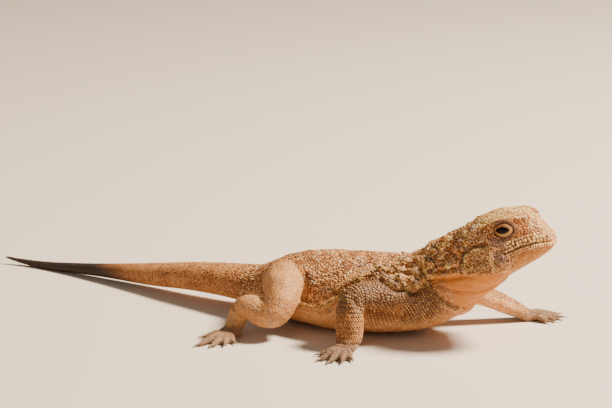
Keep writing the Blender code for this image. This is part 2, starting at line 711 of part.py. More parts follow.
def main():
    clear_scene()
    parts = new_collection("toad_headed_agama")
    cutters = new_collection("cutters")
    flesh = make_flesh(cutters)
    tree = BVHTree.FromObject(flesh, bpy.context.evaluated_depsgraph_get())
    spines = neck_spines(tree) + fold_spines(tree) + flap_spines(tree)
    floor = block("floor", (-150, 0, -25), (1, 0, 0), (300, 120, 50), cutters)
    carve_head(flesh, cutters)
    boolean(flesh, floor, "DIFFERENCE", "MANIFOLD")
    nodes = part_flesh(flesh, parts, cutters)
    for limb in LIMBS.values():
        foot = nodes[limb["names"][2]]
        fuse(foot, digit_pieces(limb, cutters), cutters)
        boolean(foot, floor, "DIFFERENCE", "MANIFOLD")
    grow_spines(nodes, spines, cutters)
    bpy.data.objects.remove(floor)
    for name, thing in nodes.items():
        set_material(thing, CREAM if name.startswith(("hand", "foot")) else SAND, 0.6)
    make_eyes(parts)
    place_on_floor(parts)
    for thing in parts.objects:
        print(thing.name, sum(len(f.vertices) - 2 for f in thing.data.polygons), "triangles")


main()
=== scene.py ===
# %% [markdown]
# # A secret toad-headed agama on a pale floor
# This scene dresses a measured model of a small desert lizard. The model comes first and
# nothing here moves it: one skin is laid where its flesh is, and thousands of scales are
# set on that skin. The model could be given a bumpy material instead, but bumps have no
# outline, and the scales of this lizard show along every edge of it. All shapes below are
# worked out in millimetres in the lizard's own frame, with the hips at x = 0, the snout
# towards +x, its left side towards +y and the floor at z = 0. They are moved into the
# model's frame, in metres, when they are done.

# %% The measured model
import bpy
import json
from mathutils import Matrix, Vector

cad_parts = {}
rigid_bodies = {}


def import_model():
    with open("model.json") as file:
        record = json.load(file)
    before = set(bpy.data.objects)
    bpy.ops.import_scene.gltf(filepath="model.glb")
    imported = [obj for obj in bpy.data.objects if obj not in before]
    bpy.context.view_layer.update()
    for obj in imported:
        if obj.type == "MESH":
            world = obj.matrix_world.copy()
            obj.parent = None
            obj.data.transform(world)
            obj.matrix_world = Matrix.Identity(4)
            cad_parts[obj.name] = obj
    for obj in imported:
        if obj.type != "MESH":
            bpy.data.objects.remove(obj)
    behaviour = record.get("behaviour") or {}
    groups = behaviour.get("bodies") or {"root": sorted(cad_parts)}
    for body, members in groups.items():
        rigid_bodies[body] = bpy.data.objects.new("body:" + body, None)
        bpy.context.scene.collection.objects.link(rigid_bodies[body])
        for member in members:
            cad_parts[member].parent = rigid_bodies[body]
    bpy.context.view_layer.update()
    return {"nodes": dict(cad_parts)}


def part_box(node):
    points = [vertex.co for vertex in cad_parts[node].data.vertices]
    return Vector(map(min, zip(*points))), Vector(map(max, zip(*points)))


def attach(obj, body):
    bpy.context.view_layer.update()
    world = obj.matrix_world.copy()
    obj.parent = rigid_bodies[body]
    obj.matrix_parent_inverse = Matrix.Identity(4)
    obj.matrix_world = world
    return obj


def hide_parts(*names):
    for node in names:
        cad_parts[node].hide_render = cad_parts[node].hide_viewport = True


for thing in list(bpy.data.objects):
    bpy.data.objects.remove(thing)  # the startup cube, lamp and camera
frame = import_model()

# %% Tools
import json
import math
import random

import numpy as np
from mathutils import Matrix, Vector
from mathutils.bvhtree import BVHTree

MM = 0.001
rng = np.random.default_rng(11)  # all random sizes and places of the scales come from here

# %% [markdown]
# ## Where the lizard's own frame is
# The head is tipped up by 17 degrees and turned a little to its left. Its sizes are
# easier to give in a frame of its own, which starts at the tip of the snout. The eyeball
# in the model is the one part whose centre is known in both frames, so the difference
# between the two gives the way from one frame to the other. That is safer than a copied
# number, because it stays right when the model's box changes.

# %% The head's frame and the model's frame
SNOUT_TIP = np.array([88.8, 2.2, 34.5])
PITCH, YAW = math.radians(17), math.radians(1.5)
HEAD_TURN = np.array(Matrix.Rotation(YAW, 3, "Z") @ Matrix.Rotation(-PITCH, 3, "Y"))
EYE = np.array([-12.0, 6.6, 7.3])
EYE_RADIUS = 3.1


def from_head(points):
    """Head frame to body frame."""
    return SNOUT_TIP + np.asarray(points, float) @ HEAD_TURN.T


def to_head(points):
    """Body frame to head frame."""
    return (np.asarray(points, float) - SNOUT_TIP) @ HEAD_TURN


low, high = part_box("eye_right")
eye_right = from_head(EYE * (1, -1, 1))
MODEL_SHIFT = np.array((low + high) / 2) / MM - eye_right
print("from the body frame to the model frame, mm:", MODEL_SHIFT.round(3))


def to_model(points):
    return (np.asarray(points, float) + MODEL_SHIFT) * MM


# %% [markdown]
# ## The camera
# The photograph was taken from low down on the lizard's right, a little in front of it,
# from about 60 cm. A long lens at that distance gives the same flat perspective. The
# camera comes before the skin here, because a line of sight through a point of the
# picture is a handy way of saying where on the skin a fold or a scale row lies.

# %% Camera
AZIMUTH = math.radians(24.6)
PICTURE = (612, 408)
FOCAL = 2000.0  # in pixels of the picture
CAMERA_BACK = np.array([0.40444, -0.88337, 0.23684])
CAMERA_RIGHT = np.array([math.cos(AZIMUTH), math.sin(AZIMUTH), 0.0])
CAMERA_UP = np.cross(CAMERA_BACK, CAMERA_RIGHT)
CAMERA_PLACE = np.array([264.87, -563.58, 188.87])

lens = bpy.data.cameras.new("camera")
lens.sensor_width = 36
lens.lens = FOCAL * 36 / PICTURE[0]
lens.clip_start, lens.clip_end = 0.01, 10
camera = bpy.data.objects.new("camera", lens)
turn = Matrix((CAMERA_RIGHT, CAMERA_UP, CAMERA_BACK)).transposed()
camera.matrix_world = Matrix.Translation(to_model(CAMERA_PLACE)) @ turn.to_4x4()
bpy.context.scene.collection.objects.link(camera)
bpy.context.scene.camera = camera
print("lens", round(lens.lens, 1), "mm at", tuple(round(c, 3) for c in camera.location))

# %% [markdown]
# ## Sizes of the body
# The skin has to lie where the model's flesh lies, so it starts from the same sizes: a
# row of sections for the trunk, the tail, the head and each leg. Each row holds a place
# and how far the flesh reaches from there. The model's own meshes could be joined into a
# skin too, but rows of sizes also give the middle line of every limb, and the rings of
# scales further down need those lines.

# %% Sections of the trunk, tail and head
# x, y, z of the widest line, half width, rise, drop
TRUNK = (
    (-16.0, 0.6, 8.6, 7.6, 5.2, 5.0),
    (-10.0, 0.2, 8.8, 8.6, 6.6, 6.2),
    (-4.0, 0.0, 8.8, 10.8, 9.2, 7.6),
    (3.0, 0.0, 9.0, 13.6, 11.8, 8.6),
    (12.0, 0.0, 9.4, 16.6, 13.0, 9.4),
    (22.0, 0.0, 9.7, 18.0, 13.3, 10.3),
    (32.0, 0.0, 10.2, 17.0, 13.6, 10.2),
    (40.0, 0.0, 11.2, 15.0, 13.0, 10.4),
    (47.0, 0.2, 13.4, 13.0, 12.4, 11.0),
    (53.0, 0.5, 16.6, 11.4, 12.0, 11.0),
    (59.0, 0.9, 21.0, 10.6, 12.2, 10.4),
    (65.0, 1.2, 24.6, 10.2, 11.8, 9.6),
    (70.0, 1.4, 27.6, 9.0, 9.4, 8.4),
)
# x, y, z, half width, half height
TAIL = (
    (-8.0, 0.2, 9.0, 8.8, 6.6),
    (-20.0, 1.8, 8.8, 7.2, 5.6),
    (-34.0, 4.2, 7.9, 6.0, 4.8),
    (-54.0, 8.0, 5.4, 4.5, 3.8),
    (-75.0, 11.6, 3.4, 2.9, 2.4),
    (-88.0, 13.6, 2.2, 2.1, 1.85),
    (-102.0, 15.2, 1.3, 1.5, 1.4),
    (-111.0, 15.6, 1.6, 1.0, 1.0),
    (-117.6, 15.0, 2.6, 0.5, 0.5),
)
# Distance behind the snout, half width, top, bottom
HEAD = (
    (0.0, 2.2, 1.4, -1.0),
    (0.4, 3.6, 2.7, -1.7),
    (1.2, 4.7, 3.2, -2.4),
    (2.2, 5.6, 4.6, -3.0),
    (3.6, 6.6, 7.7, -3.7),
    (5.6, 7.7, 10.2, -4.5),
    (9.0, 9.2, 11.8, -5.6),
    (13.5, 11.0, 12.6, -7.0),
    (19.0, 12.3, 12.2, -8.9),
    (23.5, 12.6, 10.7, -10.3),
    (27.0, 11.8, 9.1, -10.6),
    (29.5, 9.6, 6.8, -8.8),
    (30.8, 6.0, 4.0, -5.0),
)
HEAD_WIDEST = 0.6  # height of its widest line
HEAD_SQUARENESS = 2.5
# The ridge of a brow, in the head's frame: x, y, z, half width, half height
BROW = (
    (-4.6, 3.4, 8.5, 1.2, 1.0),
    (-7.0, 5.4, 9.6, 1.6, 1.1),
    (-11.0, 7.6, 10.0, 1.7, 1.2),
    (-15.0, 8.8, 9.6, 1.5, 1.1),
    (-18.8, 9.6, 8.0, 1.0, 0.8),
)
LIDS = (4.1, 3.9, 3.6)  # half sizes of the pad round an eye
# Middle and half sizes: cheek and flap in the head's frame, throat pouch in the body's
CHEEK = ((-20.5, 8.2, -2.0), (6.6, 4.6, 6.8))
FLAP = ((-14.3, 10.3, -1.2), (3.1, 1.5, 3.2))
POUCH = ((57.0, 0.8, 13.4), (8.0, 8.6, 6.2))
# The fold along a flank: x, y, z, radius
FLANK_FOLD = (
    (10.0, 16.3, 10.2, 0.9),
    (18.0, 17.9, 9.8, 1.2),
    (25.0, 17.7, 12.4, 1.3),
    (31.0, 16.6, 16.2, 1.4),
    (38.0, 13.8, 19.8, 1.5),
    (46.0, 11.6, 20.4, 1.4),
    (52.0, 10.9, 18.6, 1.1),
)
print(len(TRUNK) + len(TAIL) + len(HEAD), "sections of trunk, tail and head")

# %% Sections of the legs
# rows: x, y, z, half width, half thickness from the root to the wrist or heel. side is the
# way across them, heading that of the foot in degrees, and pad the middle of its sole.
LEGS = {
    "foreleg_right": dict(
        rows=((47, -6, 13.6, 6.8, 6.2), (41.5, -12.0, 14.8, 5.6, 5.2), (35.8, -18.2, 16.0, 4.4, 4.0),
              (33.0, -21.6, 15.6, 4.2, 3.8), (32.6, -23.6, 12.4, 4.3, 3.7), (33.0, -25.2, 8.2, 4.4, 3.5),
              (33.5, -26.6, 4.2, 4.1, 2.8), (33.5, -28.4, 2.3, 3.6, 2.0)),
        side=(1, 0, 0), heading=-94, pad=(33.4, -30.0), hind=False, mirror=1),
    "foreleg_left": dict(
        rows=((44, 6, 12.2, 6.8, 6.2), (50.5, 11.6, 11.8, 5.2, 4.6), (57.0, 16.0, 10.2, 3.8, 3.4),
              (61.2, 18.8, 8.8, 3.5, 3.2), (64.6, 21.2, 7.0, 3.3, 3.0), (68.0, 23.8, 4.8, 3.2, 2.7),
              (70.8, 26.0, 3.0, 3.1, 2.2), (71.9, 27.2, 2.1, 3.1, 1.9)),
        side=(-0.55, 0.83, 0), heading=28, pad=(72.8, 27.9), hind=False, mirror=-1),
    "hindleg_right": dict(
        rows=((1, -5, 12.6, 7.4, 7.0), (4.4, -12.0, 14.2, 6.8, 6.4), (7.4, -18.5, 14.4, 6.2, 6.0),
              (8.8, -23.0, 12.2, 5.6, 5.4), (8.0, -26.0, 9.0, 4.8, 4.6), (4.0, -26.4, 8.4, 4.4, 4.2),
              (-0.6, -25.8, 9.8, 4.0, 4.0), (-3.8, -25.4, 8.2, 3.5, 3.4), (-5.2, -26.2, 4.6, 3.1, 2.8),
              (-5.8, -27.4, 2.1, 3.1, 2.0)),
        side=(0, 0.2, 1), heading=-98, pad=(-6.0, -29.0), hind=True, mirror=1),
    "hindleg_left": dict(
        rows=((1, 5, 11.6, 7.2, 6.8), (5.4, 12.6, 11.8, 6.4, 6.0), (9.8, 19.6, 10.8, 5.7, 5.5),
              (12.0, 24.0, 9.2, 5.2, 5.0), (11.4, 26.8, 7.2, 4.6, 4.4), (7.6, 27.8, 6.6, 4.2, 4.0),
              (3.4, 28.2, 7.0, 3.8, 3.7), (0.4, 28.8, 5.6, 3.3, 3.1), (-0.2, 30.2, 2.2, 3.1, 2.0)),
        side=(0, -0.2, 1), heading=78, pad=(0.0, 32.0), hind=True, mirror=-1),
}
# Digits from the inner to the outer: turn from the foot's heading in degrees, length
FINGERS = ((46, 4.4), (24, 6.0), (3, 7.2), (-18, 7.0), (-44, 4.8))
TOES = ((50, 3.8), (28, 5.6), (8, 7.8), (-12, 9.6), (-46, 4.8))
# Along a digit: millimetres and share of its length from the root, height, half width, half height
DIGIT_STOPS = ((0, 0, 1.5, 1.2, 1.1), (2, 0.25, 1.7, 1.2, 1.15), (2, 0.65, 1.15, 0.95, 1.0),
               (2, 1, 0.75, 0.7, 0.7))
DIGIT_ROOT = 0.96  # how far in front of the middle of the pad the digits start
# half width and half height of a pad at the heel, in the middle and in front
PAD_SIZES = ((2.88, 2.3), (3.2, 1.9), (3.04, 1.7))
PAD_HEIGHT = 1.6  # height of the middle of a pad
HEEL_BACK = 0.6  # how far behind the end of the leg the pad starts
print(sum(len(leg["rows"]) for leg in LEGS.values()), "sections of legs")

# %% [markdown]
# ## Tools for soft shapes
# A limb or a trunk is a loft: rings of points set along a smooth line and joined by
# faces. The line between the given sections is a cubic curve, so that a few sections
# give a smooth body. All shapes are plain arrays of points and faces until the end,
# which is much faster than one Blender object for each.

# %% Lofts and balls as arrays


def reach_along(points):
    """How far each point of a line is from its start, measured along the line."""
    return np.concatenate(([0.0], np.cumsum(np.linalg.norm(np.diff(points, axis=0), axis=1))))


def smooth_rows(rows, step):
    """Reads a table of places and sizes every step millimetres along the smooth curve through it."""
    rows = np.array(rows, float)
    reach = reach_along(rows[:, :3])
    slope = np.gradient(rows, reach, axis=0)
    at = np.linspace(0, reach[-1], max(3, round(reach[-1] / step) + 1))
    k = np.clip(np.searchsorted(reach, at, side="right") - 1, 0, len(rows) - 2)
    span = (reach[k + 1] - reach[k])[:, None]
    t = (at - reach[k])[:, None] / span
    start = (2 * t**3 - 3 * t**2 + 1) * rows[k] + (t**3 - 2 * t**2 + t) * span * slope[k]
    return start + (3 * t**2 - 2 * t**3) * rows[k + 1] + (t**3 - t**2) * span * slope[k + 1]


def section(half_width, rise, drop, squareness, count):
    """Points (across, up) round a superellipse."""
    angle = np.arange(count) * 2 * np.pi / count
    across = half_width * np.sign(np.cos(angle)) * np.abs(np.cos(angle)) ** (2 / squareness)
    height = np.sign(np.sin(angle)) * np.abs(np.sin(angle)) ** (2 / squareness)
    return np.stack([across, np.where(height > 0, height * rise, height * drop)], 1)


def loft(rings):
    """Joins a row of rings into (points, faces), closed at both ends."""
    rings = np.array(rings)
    rows, count = rings.shape[:2]
    ring = np.arange(count)
    faces = []
    for row in range(rows - 1):
        a, b = row * count + ring, row * count + np.roll(ring, -1)
        faces += np.stack([a, b, b + count, a + count], 1).tolist()
    faces += [ring[::-1].tolist(), (ring + (rows - 1) * count).tolist()]
    return rings.reshape(-1, 3), faces


def line_frames(rows, side):
    """Smooth rows along a line with the forward, across and up directions at each."""
    ahead = np.gradient(rows[:, :3], axis=0)
    ahead /= np.linalg.norm(ahead, axis=1)[:, None]
    across = np.asarray(side, float) - (ahead @ np.asarray(side, float))[:, None] * ahead
    across /= np.linalg.norm(across, axis=1)[:, None]
    up = np.cross(ahead, across)
    flip = (up[:, 2] < 0) & (np.abs(across[:, 2]) < 0.5)
    up[flip] *= -1
    return ahead, across, up


def tube(rows, side=(0, 1, 0), step=1.0, count=32, squareness=2.0):
    """A bent body through rows of x, y, z, half width, rise and, if given, drop."""
    rows = smooth_rows([tuple(r) if len(r) == 6 else (*r, r[4]) for r in rows], step)
    _, across, up = line_frames(rows, side)
    rings = []
    for row, a, u in zip(rows, across, up):
        flat = section(row[3], row[4], row[5], squareness, count)
        rings.append(row[:3] + flat[:, :1] * a + flat[:, 1:] * u)
    return loft(rings)


def ball(centre, half_sizes, turn=np.eye(3), count=28):
    """An ellipsoid as (points, faces)."""
    rings = []
    for height in np.sin(np.linspace(-0.49, 0.49, count // 2) * np.pi):
        round_it = np.arange(count) * 2 * np.pi / count
        wide = math.sqrt(1 - height**2)
        ring = np.stack([np.cos(round_it) * wide, np.sin(round_it) * wide, np.full(count, height)], 1)
        rings.append(np.asarray(centre) + (ring * half_sizes) @ np.asarray(turn).T)
    return loft(rings)


def joined(pieces):
    """Several (points, faces) as one."""
    points, faces, start = [], [], 0
    for more_points, more_faces in pieces:
        faces += [[start + corner for corner in face] for face in more_faces]
        points.append(more_points)
        start += len(more_points)
    return np.concatenate(points), faces


print("a test loft has", len(tube(TAIL)[0]), "points")

# %% [markdown]
# ## The flesh of the head, the trunk and the legs
# The head is a broad box with a high round crown and a short steep snout, so its sections
# are squarer than ellipses. The brows, the pads of the lids, the round cheeks and the
# folded flap at each corner of the mouth are simple shapes that run through the head.
# The feet get a real pad and five round digits each. All of it could be sculpted as one
# mesh by hand, but simple shapes keep their sizes in plain sight and can overlap freely,
# because the next step melts them together.

# %% Pieces of flesh


def head_half_width(behind, height):
    """How far out the skin of the head is, at a distance behind the snout and a height."""
    table = np.array(HEAD)
    width, top, bottom = (np.interp(behind, table[:, 0], table[:, i]) for i in (1, 2, 3))
    reach = np.where(height > HEAD_WIDEST, top, bottom) - HEAD_WIDEST
    rise = np.clip(np.abs((height - HEAD_WIDEST) / reach), 0, 1)
    return width * (1 - rise**HEAD_SQUARENESS) ** (1 / HEAD_SQUARENESS)


def head_pieces():
    rows = smooth_rows([(-b, 0, 0, w, t, d) for b, w, t, d in HEAD], 0.5)
    rings = []
    for row in rows:
        flat = section(row[3], row[4] - HEAD_WIDEST, HEAD_WIDEST - row[5], HEAD_SQUARENESS, 64)
        ring = np.stack([np.full(64, row[0]), flat[:, 0], flat[:, 1] + HEAD_WIDEST], 1)
        rings.append(from_head(ring))
    pieces = [loft(rings)]
    for side in (1, -1):
        pieces.append(ball(from_head(EYE * (1, side, 1)), LIDS, HEAD_TURN))
        brow = [(*from_head((b[0], b[1] * side, b[2])), b[3], b[4]) for b in BROW]
        pieces.append(tube(brow, step=0.7, count=16))
        for place, size in (CHEEK, FLAP):
            pieces.append(ball(from_head(np.multiply(place, (1, side, 1))), size, HEAD_TURN))
    return pieces


def heading(degrees):
    """A level direction, and the one across it."""
    angle = math.radians(degrees)
    forward = np.array([math.cos(angle), math.sin(angle), 0])
    return forward, np.array([-forward[1], forward[0], 0])


def pad_reach(leg):
    """How far the pad of a foot reaches in front of its middle."""
    return 2.2 if leg["hind"] else 1.4


def foot_lines(leg):
    """For each digit: rows of x, y, z, half width, half height, the way across and the way forward."""
    pad = np.array([*leg["pad"], 0.0]) + heading(leg["heading"])[0] * (pad_reach(leg) - 1)
    lines = []
    for spread, length in TOES if leg["hind"] else FINGERS:
        forward, across = heading(leg["heading"] + spread * leg["mirror"])
        root = pad + forward * DIGIT_ROOT
        rows = [(*(root + forward * (start + length * share) + (0, 0, z)), wide, thick)
                for start, share, z, wide, thick in DIGIT_STOPS]
        lines.append((rows, across, forward))
    return lines


def leg_pieces(leg):
    pieces = [tube(leg["rows"], side=leg["side"], count=36)]
    forward, across = heading(leg["heading"])
    centre = np.array([*leg["pad"], PAD_HEIGHT])
    heel = np.array(leg["rows"][-1][:3])
    stops = (heel - forward * HEEL_BACK, centre, centre + forward * pad_reach(leg))
    rows = [(*stop, *size) for stop, size in zip(stops, PAD_SIZES)]
    pieces.append(tube(rows, side=across, step=0.6, count=28, squareness=2.4))
    for rows, across, _ in foot_lines(leg):
        pieces.append(tube(rows, side=across, step=0.6, count=16))
    return pieces


flesh = head_pieces()
flesh.append(tube(TRUNK, count=64, squareness=2.3))
flesh.append(tube(TAIL, count=40, squareness=2.1))
flesh.append(ball(*POUCH))
for side in (1, -1):
    fold = [(x, y * side, z, radius, radius) for x, y, z, radius in FLANK_FOLD]
    flesh.append(tube(fold, side=(0, 0, 1), count=14))
for leg in LEGS.values():
    flesh += leg_pieces(leg)
print(len(flesh), "pieces of flesh")

# %% [markdown]
# ## One skin
# A voxel remesh melts all these pieces into one closed surface with no seam, as a real
# skin has, and a few rounds of smoothing round the joins. Boolean unions would join them
# too, but they leave a sharp crease wherever two pieces meet. The remesh is done at
# millimetre scale in an object of its own, whose points are then read back as an array.
# The skin is drawn in a little, because the scales stand on it and their tops have to
# reach the model's surface. What would be under the floor is pressed flat on it.

# %% Melt and smooth
SKIN_VOXEL = 0.46  # mm, fine enough for the digits
COAT_DEPTH = 0.14  # how far the skin is drawn in
FLOOR_CLEARANCE = 0.05  # the skin stays this far over the floor


def make_object(name, points, faces):
    mesh = bpy.data.meshes.new(name)
    mesh.from_pydata(np.asarray(points).tolist(), [], faces)
    mesh.validate()
    thing = bpy.data.objects.new(name, mesh)
    bpy.context.scene.collection.objects.link(thing)
    return thing


def settle(thing):
    """Applies an object's modifiers."""
    bpy.context.view_layer.update()
    graph = bpy.context.evaluated_depsgraph_get()
    old = thing.data
    thing.data = bpy.data.meshes.new_from_object(thing.evaluated_get(graph))
    thing.modifiers.clear()
    bpy.data.meshes.remove(old)


def read_points(mesh):
    points = np.empty(len(mesh.vertices) * 3, np.float32)
    mesh.vertices.foreach_get("co", points)
    return points.reshape(-1, 3).astype(float)


def read_normals(mesh):
    normals = np.empty(len(mesh.vertices) * 3, np.float32)
    mesh.vertices.foreach_get("normal", normals)
    return normals.reshape(-1, 3).astype(float)


def write_points(mesh, points):
    mesh.vertices.foreach_set("co", np.asarray(points, np.float32).ravel())
    mesh.update()


skin = make_object("skin", *joined(flesh))
remesh = skin.modifiers.new("melt", "REMESH")
remesh.mode = "VOXEL"
remesh.voxel_size = SKIN_VOXEL
smooth = skin.modifiers.new("smooth", "SMOOTH")
smooth.factor = 0.5
smooth.iterations = 6
settle(skin)
points = read_points(skin.data) - read_normals(skin.data) * COAT_DEPTH
points[:, 2] = np.maximum(points[:, 2], FLOOR_CLEARANCE)
write_points(skin.data, points)
print("skin:", len(points), "points,", len(skin.data.polygons), "faces")

# %% [markdown]
# ## Folds in the skin
# The hide of this lizard hangs in loose folds along the neck, the shoulder and the flank.
# They could be sculpted with a brush, but a brush leaves nothing to read or to change, so
# creases and ridges are pushed into the skin along lines. A line of the near side is given
# by points of the picture: a line of sight from the camera is followed until it meets the
# skin. The same line is mirrored to the far side, on the head in the head's frame, and
# laid on the skin there by looking for the nearest point of it.

# %% Lines of sight and mirrored lines


def skin_tree():
    corners = read_points(skin.data)
    return BVHTree.FromPolygons(corners.tolist(), [tuple(p.vertices) for p in skin.data.polygons])


tree = skin_tree()
TRUNK_MIDDLE = 0.4  # twice how far the middle of the shoulders lies to the left


def sight(u, v):
    """The point of the skin that the camera sees at a point of the picture."""
    way = CAMERA_RIGHT * (u - PICTURE[0] / 2) + CAMERA_UP * (PICTURE[1] / 2 - v) - CAMERA_BACK * FOCAL
    place = tree.ray_cast(Vector(CAMERA_PLACE), Vector(way).normalized())[0]
    return None if place is None else np.array(place)


def on_skin(points):
    """The nearest point of the skin to each point."""
    return np.array([tree.find_nearest(Vector(p))[0] for p in points])


def mirror_head(points):
    return from_head(to_head(points) * (1, -1, 1))


def mirror_body(points):
    return np.asarray(points) * (1, -1, 1) + (0, TRUNK_MIDDLE, 0)


def dense(points, step=0.4):
    """A line with a point every step millimetres."""
    points = np.asarray(points, float)
    reach = reach_along(points)
    at = np.arange(0, reach[-1] + step / 2, step)
    return np.stack([np.interp(at, reach, points[:, i]) for i in range(3)], 1)


def seen_line(*pixels, mirror=mirror_body):
    """A line of the near side and its twin of the far side, both on the skin."""
    near = np.array([p for p in (sight(u, v) for u, v in pixels) if p is not None])
    return [on_skin(dense(near)), on_skin(dense(on_skin(mirror(near))))]


print("the eye is seen at", sight(504, 229).round(1))

# %% Distances, outlines and patches


def distance_to(points, lines, reach=5):
    """How far each point is from the nearest point of some lines, if that is nearer than reach."""
    nearest = np.full(len(points), 1e9)
    for line in lines:
        low, high = line.min(0) - reach, line.max(0) + reach
        close = np.where(((points > low) & (points < high)).all(1))[0]
        for start in range(0, len(close), 4000):
            part = close[start : start + 4000]
            gap = np.linalg.norm(points[part][:, None] - line[None], axis=2).min(1)
            nearest[part] = np.minimum(nearest[part], gap)
    return nearest


def ramp(value, start, end):
    """0 at start and 1 at end, smooth between."""
    t = np.clip((value - start) / (end - start), 0, 1)
    return t * t * (3 - 2 * t)


def in_outline(across, up, outline, soft):
    """1 inside an outline, 0 outside, and soft over some millimetres at its edge."""
    outline = np.array(outline, float)
    gap = np.full(len(across), 1e9)
    inside = np.zeros(len(across), bool)
    for (x0, y0), (x1, y1) in zip(outline, np.roll(outline, -1, 0)):
        dx, dy = x1 - x0, y1 - y0
        t = np.clip(((across - x0) * dx + (up - y0) * dy) / (dx * dx + dy * dy), 0, 1)
        gap = np.minimum(gap, np.hypot(across - x0 - t * dx, up - y0 - t * dy))
        crosses = (y0 > up) != (y1 > up)
        inside ^= crosses & (across < dx * (up - y0) / (dy if dy else 1e-9) + x0)
    return ramp(np.where(inside, gap, -gap), -soft, soft)


patch_table = np.random.default_rng(3).random(4096)


def patchiness(points, size, layer=0):
    """Soft random patches from 0 to 1, about size millimetres across. Each layer has its own."""
    at = np.asarray(points, float) / size + 100
    cell = np.floor(at).astype(np.int64)
    t = at - cell
    t = t * t * (3 - 2 * t)
    total = np.zeros(len(at))
    for corner in np.ndindex(2, 2, 2):
        spot = cell + corner
        shuffled = spot @ np.array([7386, 1934, 8349]) ^ (spot[:, 0] * 31) ^ (layer * 977)
        total += patch_table[shuffled % len(patch_table)] * np.prod(np.where(corner, t, 1 - t), axis=1)
    return total


print("patchiness of three places:", patchiness(np.eye(3) * 5, 1.1).round(2))

# %% [markdown]
# The lines below follow the real folds: the line of the mouth, the fold that runs from
# the cheek back over the shoulder, the edge of the throat pouch with a crease inside it,
# the two folds along the flank, the ragged crest of the shoulder with its hem, the hollow
# in front of the thigh, the edges of the cheek and of the flap at the corner of the mouth,
# and the wrinkles of the belly, the wrist and the elbow. The patch of knobbly hide on the
# shoulder is an outline in profile.

# %% Lines of the folds
MOUTH = ((0.0, 0.2), (1.5, 0.8), (4.0, 1.3), (7.0, 1.3), (10.5, 0.9), (13.0, 0.3))


def mouth_line(above=0.0, front=0.1, back=13.0, steps=40):
    """Along the mouth in the head's frame, from the right corner round the snout to the left."""
    behind = np.linspace(back, front, steps)
    height = np.interp(behind, *zip(*MOUTH)) + above
    half = np.stack([-behind, -head_half_width(behind, height), height], 1)
    return np.concatenate([half, half[::-1] * (1, -1, 1)])


mouth = on_skin(dense(from_head(mouth_line())))
neck_fold = seen_line((423, 262), (425, 268), (429, 274), (440, 275), (450, 273.5), (461, 272), (472, 274))
pouch_edge = seen_line((424, 279), (431, 288.7), (436, 297.5), (445, 305), (456, 309))
throat_crease = seen_line((440, 286), (455, 291), (472, 292.5), (485, 291), (495, 286))
flank = seen_line((299, 303), (307, 307), (318, 308.5), (328.5, 305), (336, 299), (343, 292))
flank_top = seen_line((338, 288), (345, 284), (354, 279.5), (364, 275), (371, 270), (377, 266))
shoulder_crest = seen_line((376, 265.5), (384, 271), (393, 274), (401, 270), (411, 270), (419, 277),
                           (425, 270))
shoulder_hem = seen_line((378, 276), (387, 283), (395, 286.5), (404, 285), (413, 289), (421, 284),
                         (426, 276))
patch_edge, _ = seen_line((373, 264), (388, 262), (402, 260), (416, 259), (427, 260), (428, 270),
                          (425, 281), (414, 290), (401, 288), (388, 285), (377, 276), (373, 264))
shoulder_patch = patch_edge[::5, [0, 2]]
thigh_gap = seen_line((305, 276), (306, 284), (305.5, 292), (303.5, 300), (301.5, 306))
belly_wrinkles = seen_line((327, 309), (329, 322)) + seen_line((322, 311), (324, 318))
wrist = seen_line((337, 343.5), (347, 345.5), (359, 344))
elbow = seen_line((354, 300), (359, 308), (363, 316))
cheek_edge = seen_line((484, 250.5), (477, 250), (470, 253), (464, 258), (462.5, 266), mirror=mirror_head)
flap_edge = seen_line((490.5, 252), (490.5, 259), (492, 265), (497, 269), (504, 270), (509, 268),
                      mirror=mirror_head)
flap_folds = seen_line((506, 255), (507, 265), mirror=mirror_head)
flap_folds += seen_line((510, 254), (510.5, 263), mirror=mirror_head)
print("lines of", len(neck_fold[0]), len(flank[0]), len(flank_top[0]), "points")

# %% Push the folds in
brow_line = seen_line((484, 222), (489, 220.5), (495, 218.4), (501, 217.2), (508, 216.8),
                      mirror=mirror_head)
neck_ridges = seen_line((437, 257), (446, 249), (457, 241), (468, 234))
neck_ridges += seen_line((430, 267), (441, 259), (450, 252), (461, 247))
neck_ridges += seen_line((436, 268.5), (447, 266), (458, 263))
dark_recess = seen_line((365, 277), (370, 275), (377, 275.5))
nostrils = [on_skin([from_head((-0.7, 2.3 * side, 2.3))]) for side in (1, -1)]
fold_rng = random.Random(5)


def some_points(lines, share):
    """A random share of the points of each line, for lumps along a fold."""
    return [line[[i for i in range(len(line)) if fold_rng.random() < share]] for line in lines]


crest_lumps = some_points([*shoulder_crest, *shoulder_hem], 0.16)
neck_lumps = some_points(neck_ridges, 0.14)
# line, how far to one side it counts in mm, height of the ridge, or depth if negative
FOLDS = (
    ([mouth], 0.4, -0.6),
    (neck_fold, 0.8, 0.9),
    (pouch_edge, 0.7, 0.6),
    (throat_crease, 0.7, -0.7),
    (flank, 0.9, 0.9),
    (flank_top, 0.9, 0.75),
    (shoulder_crest, 0.8, 0.6),
    (shoulder_hem, 0.9, 0.6),
    (crest_lumps, 0.7, 0.9),
    (thigh_gap[:1], 1.0, -0.6),
    (neck_ridges, 0.9, 0.4),
    (neck_lumps, 0.6, 0.6),
    (dark_recess, 0.9, -1.3),
    (belly_wrinkles, 0.6, -0.35),
    (wrist[:1], 0.5, -0.45),
    (elbow[:1], 0.9, -0.6),
    (brow_line, 1.0, 0.35),
    (cheek_edge, 0.9, 0.8),
    (flap_edge, 0.8, 0.45),
    (flap_folds, 0.5, -0.35),
    (nostrils, 0.5, -1.1),
)
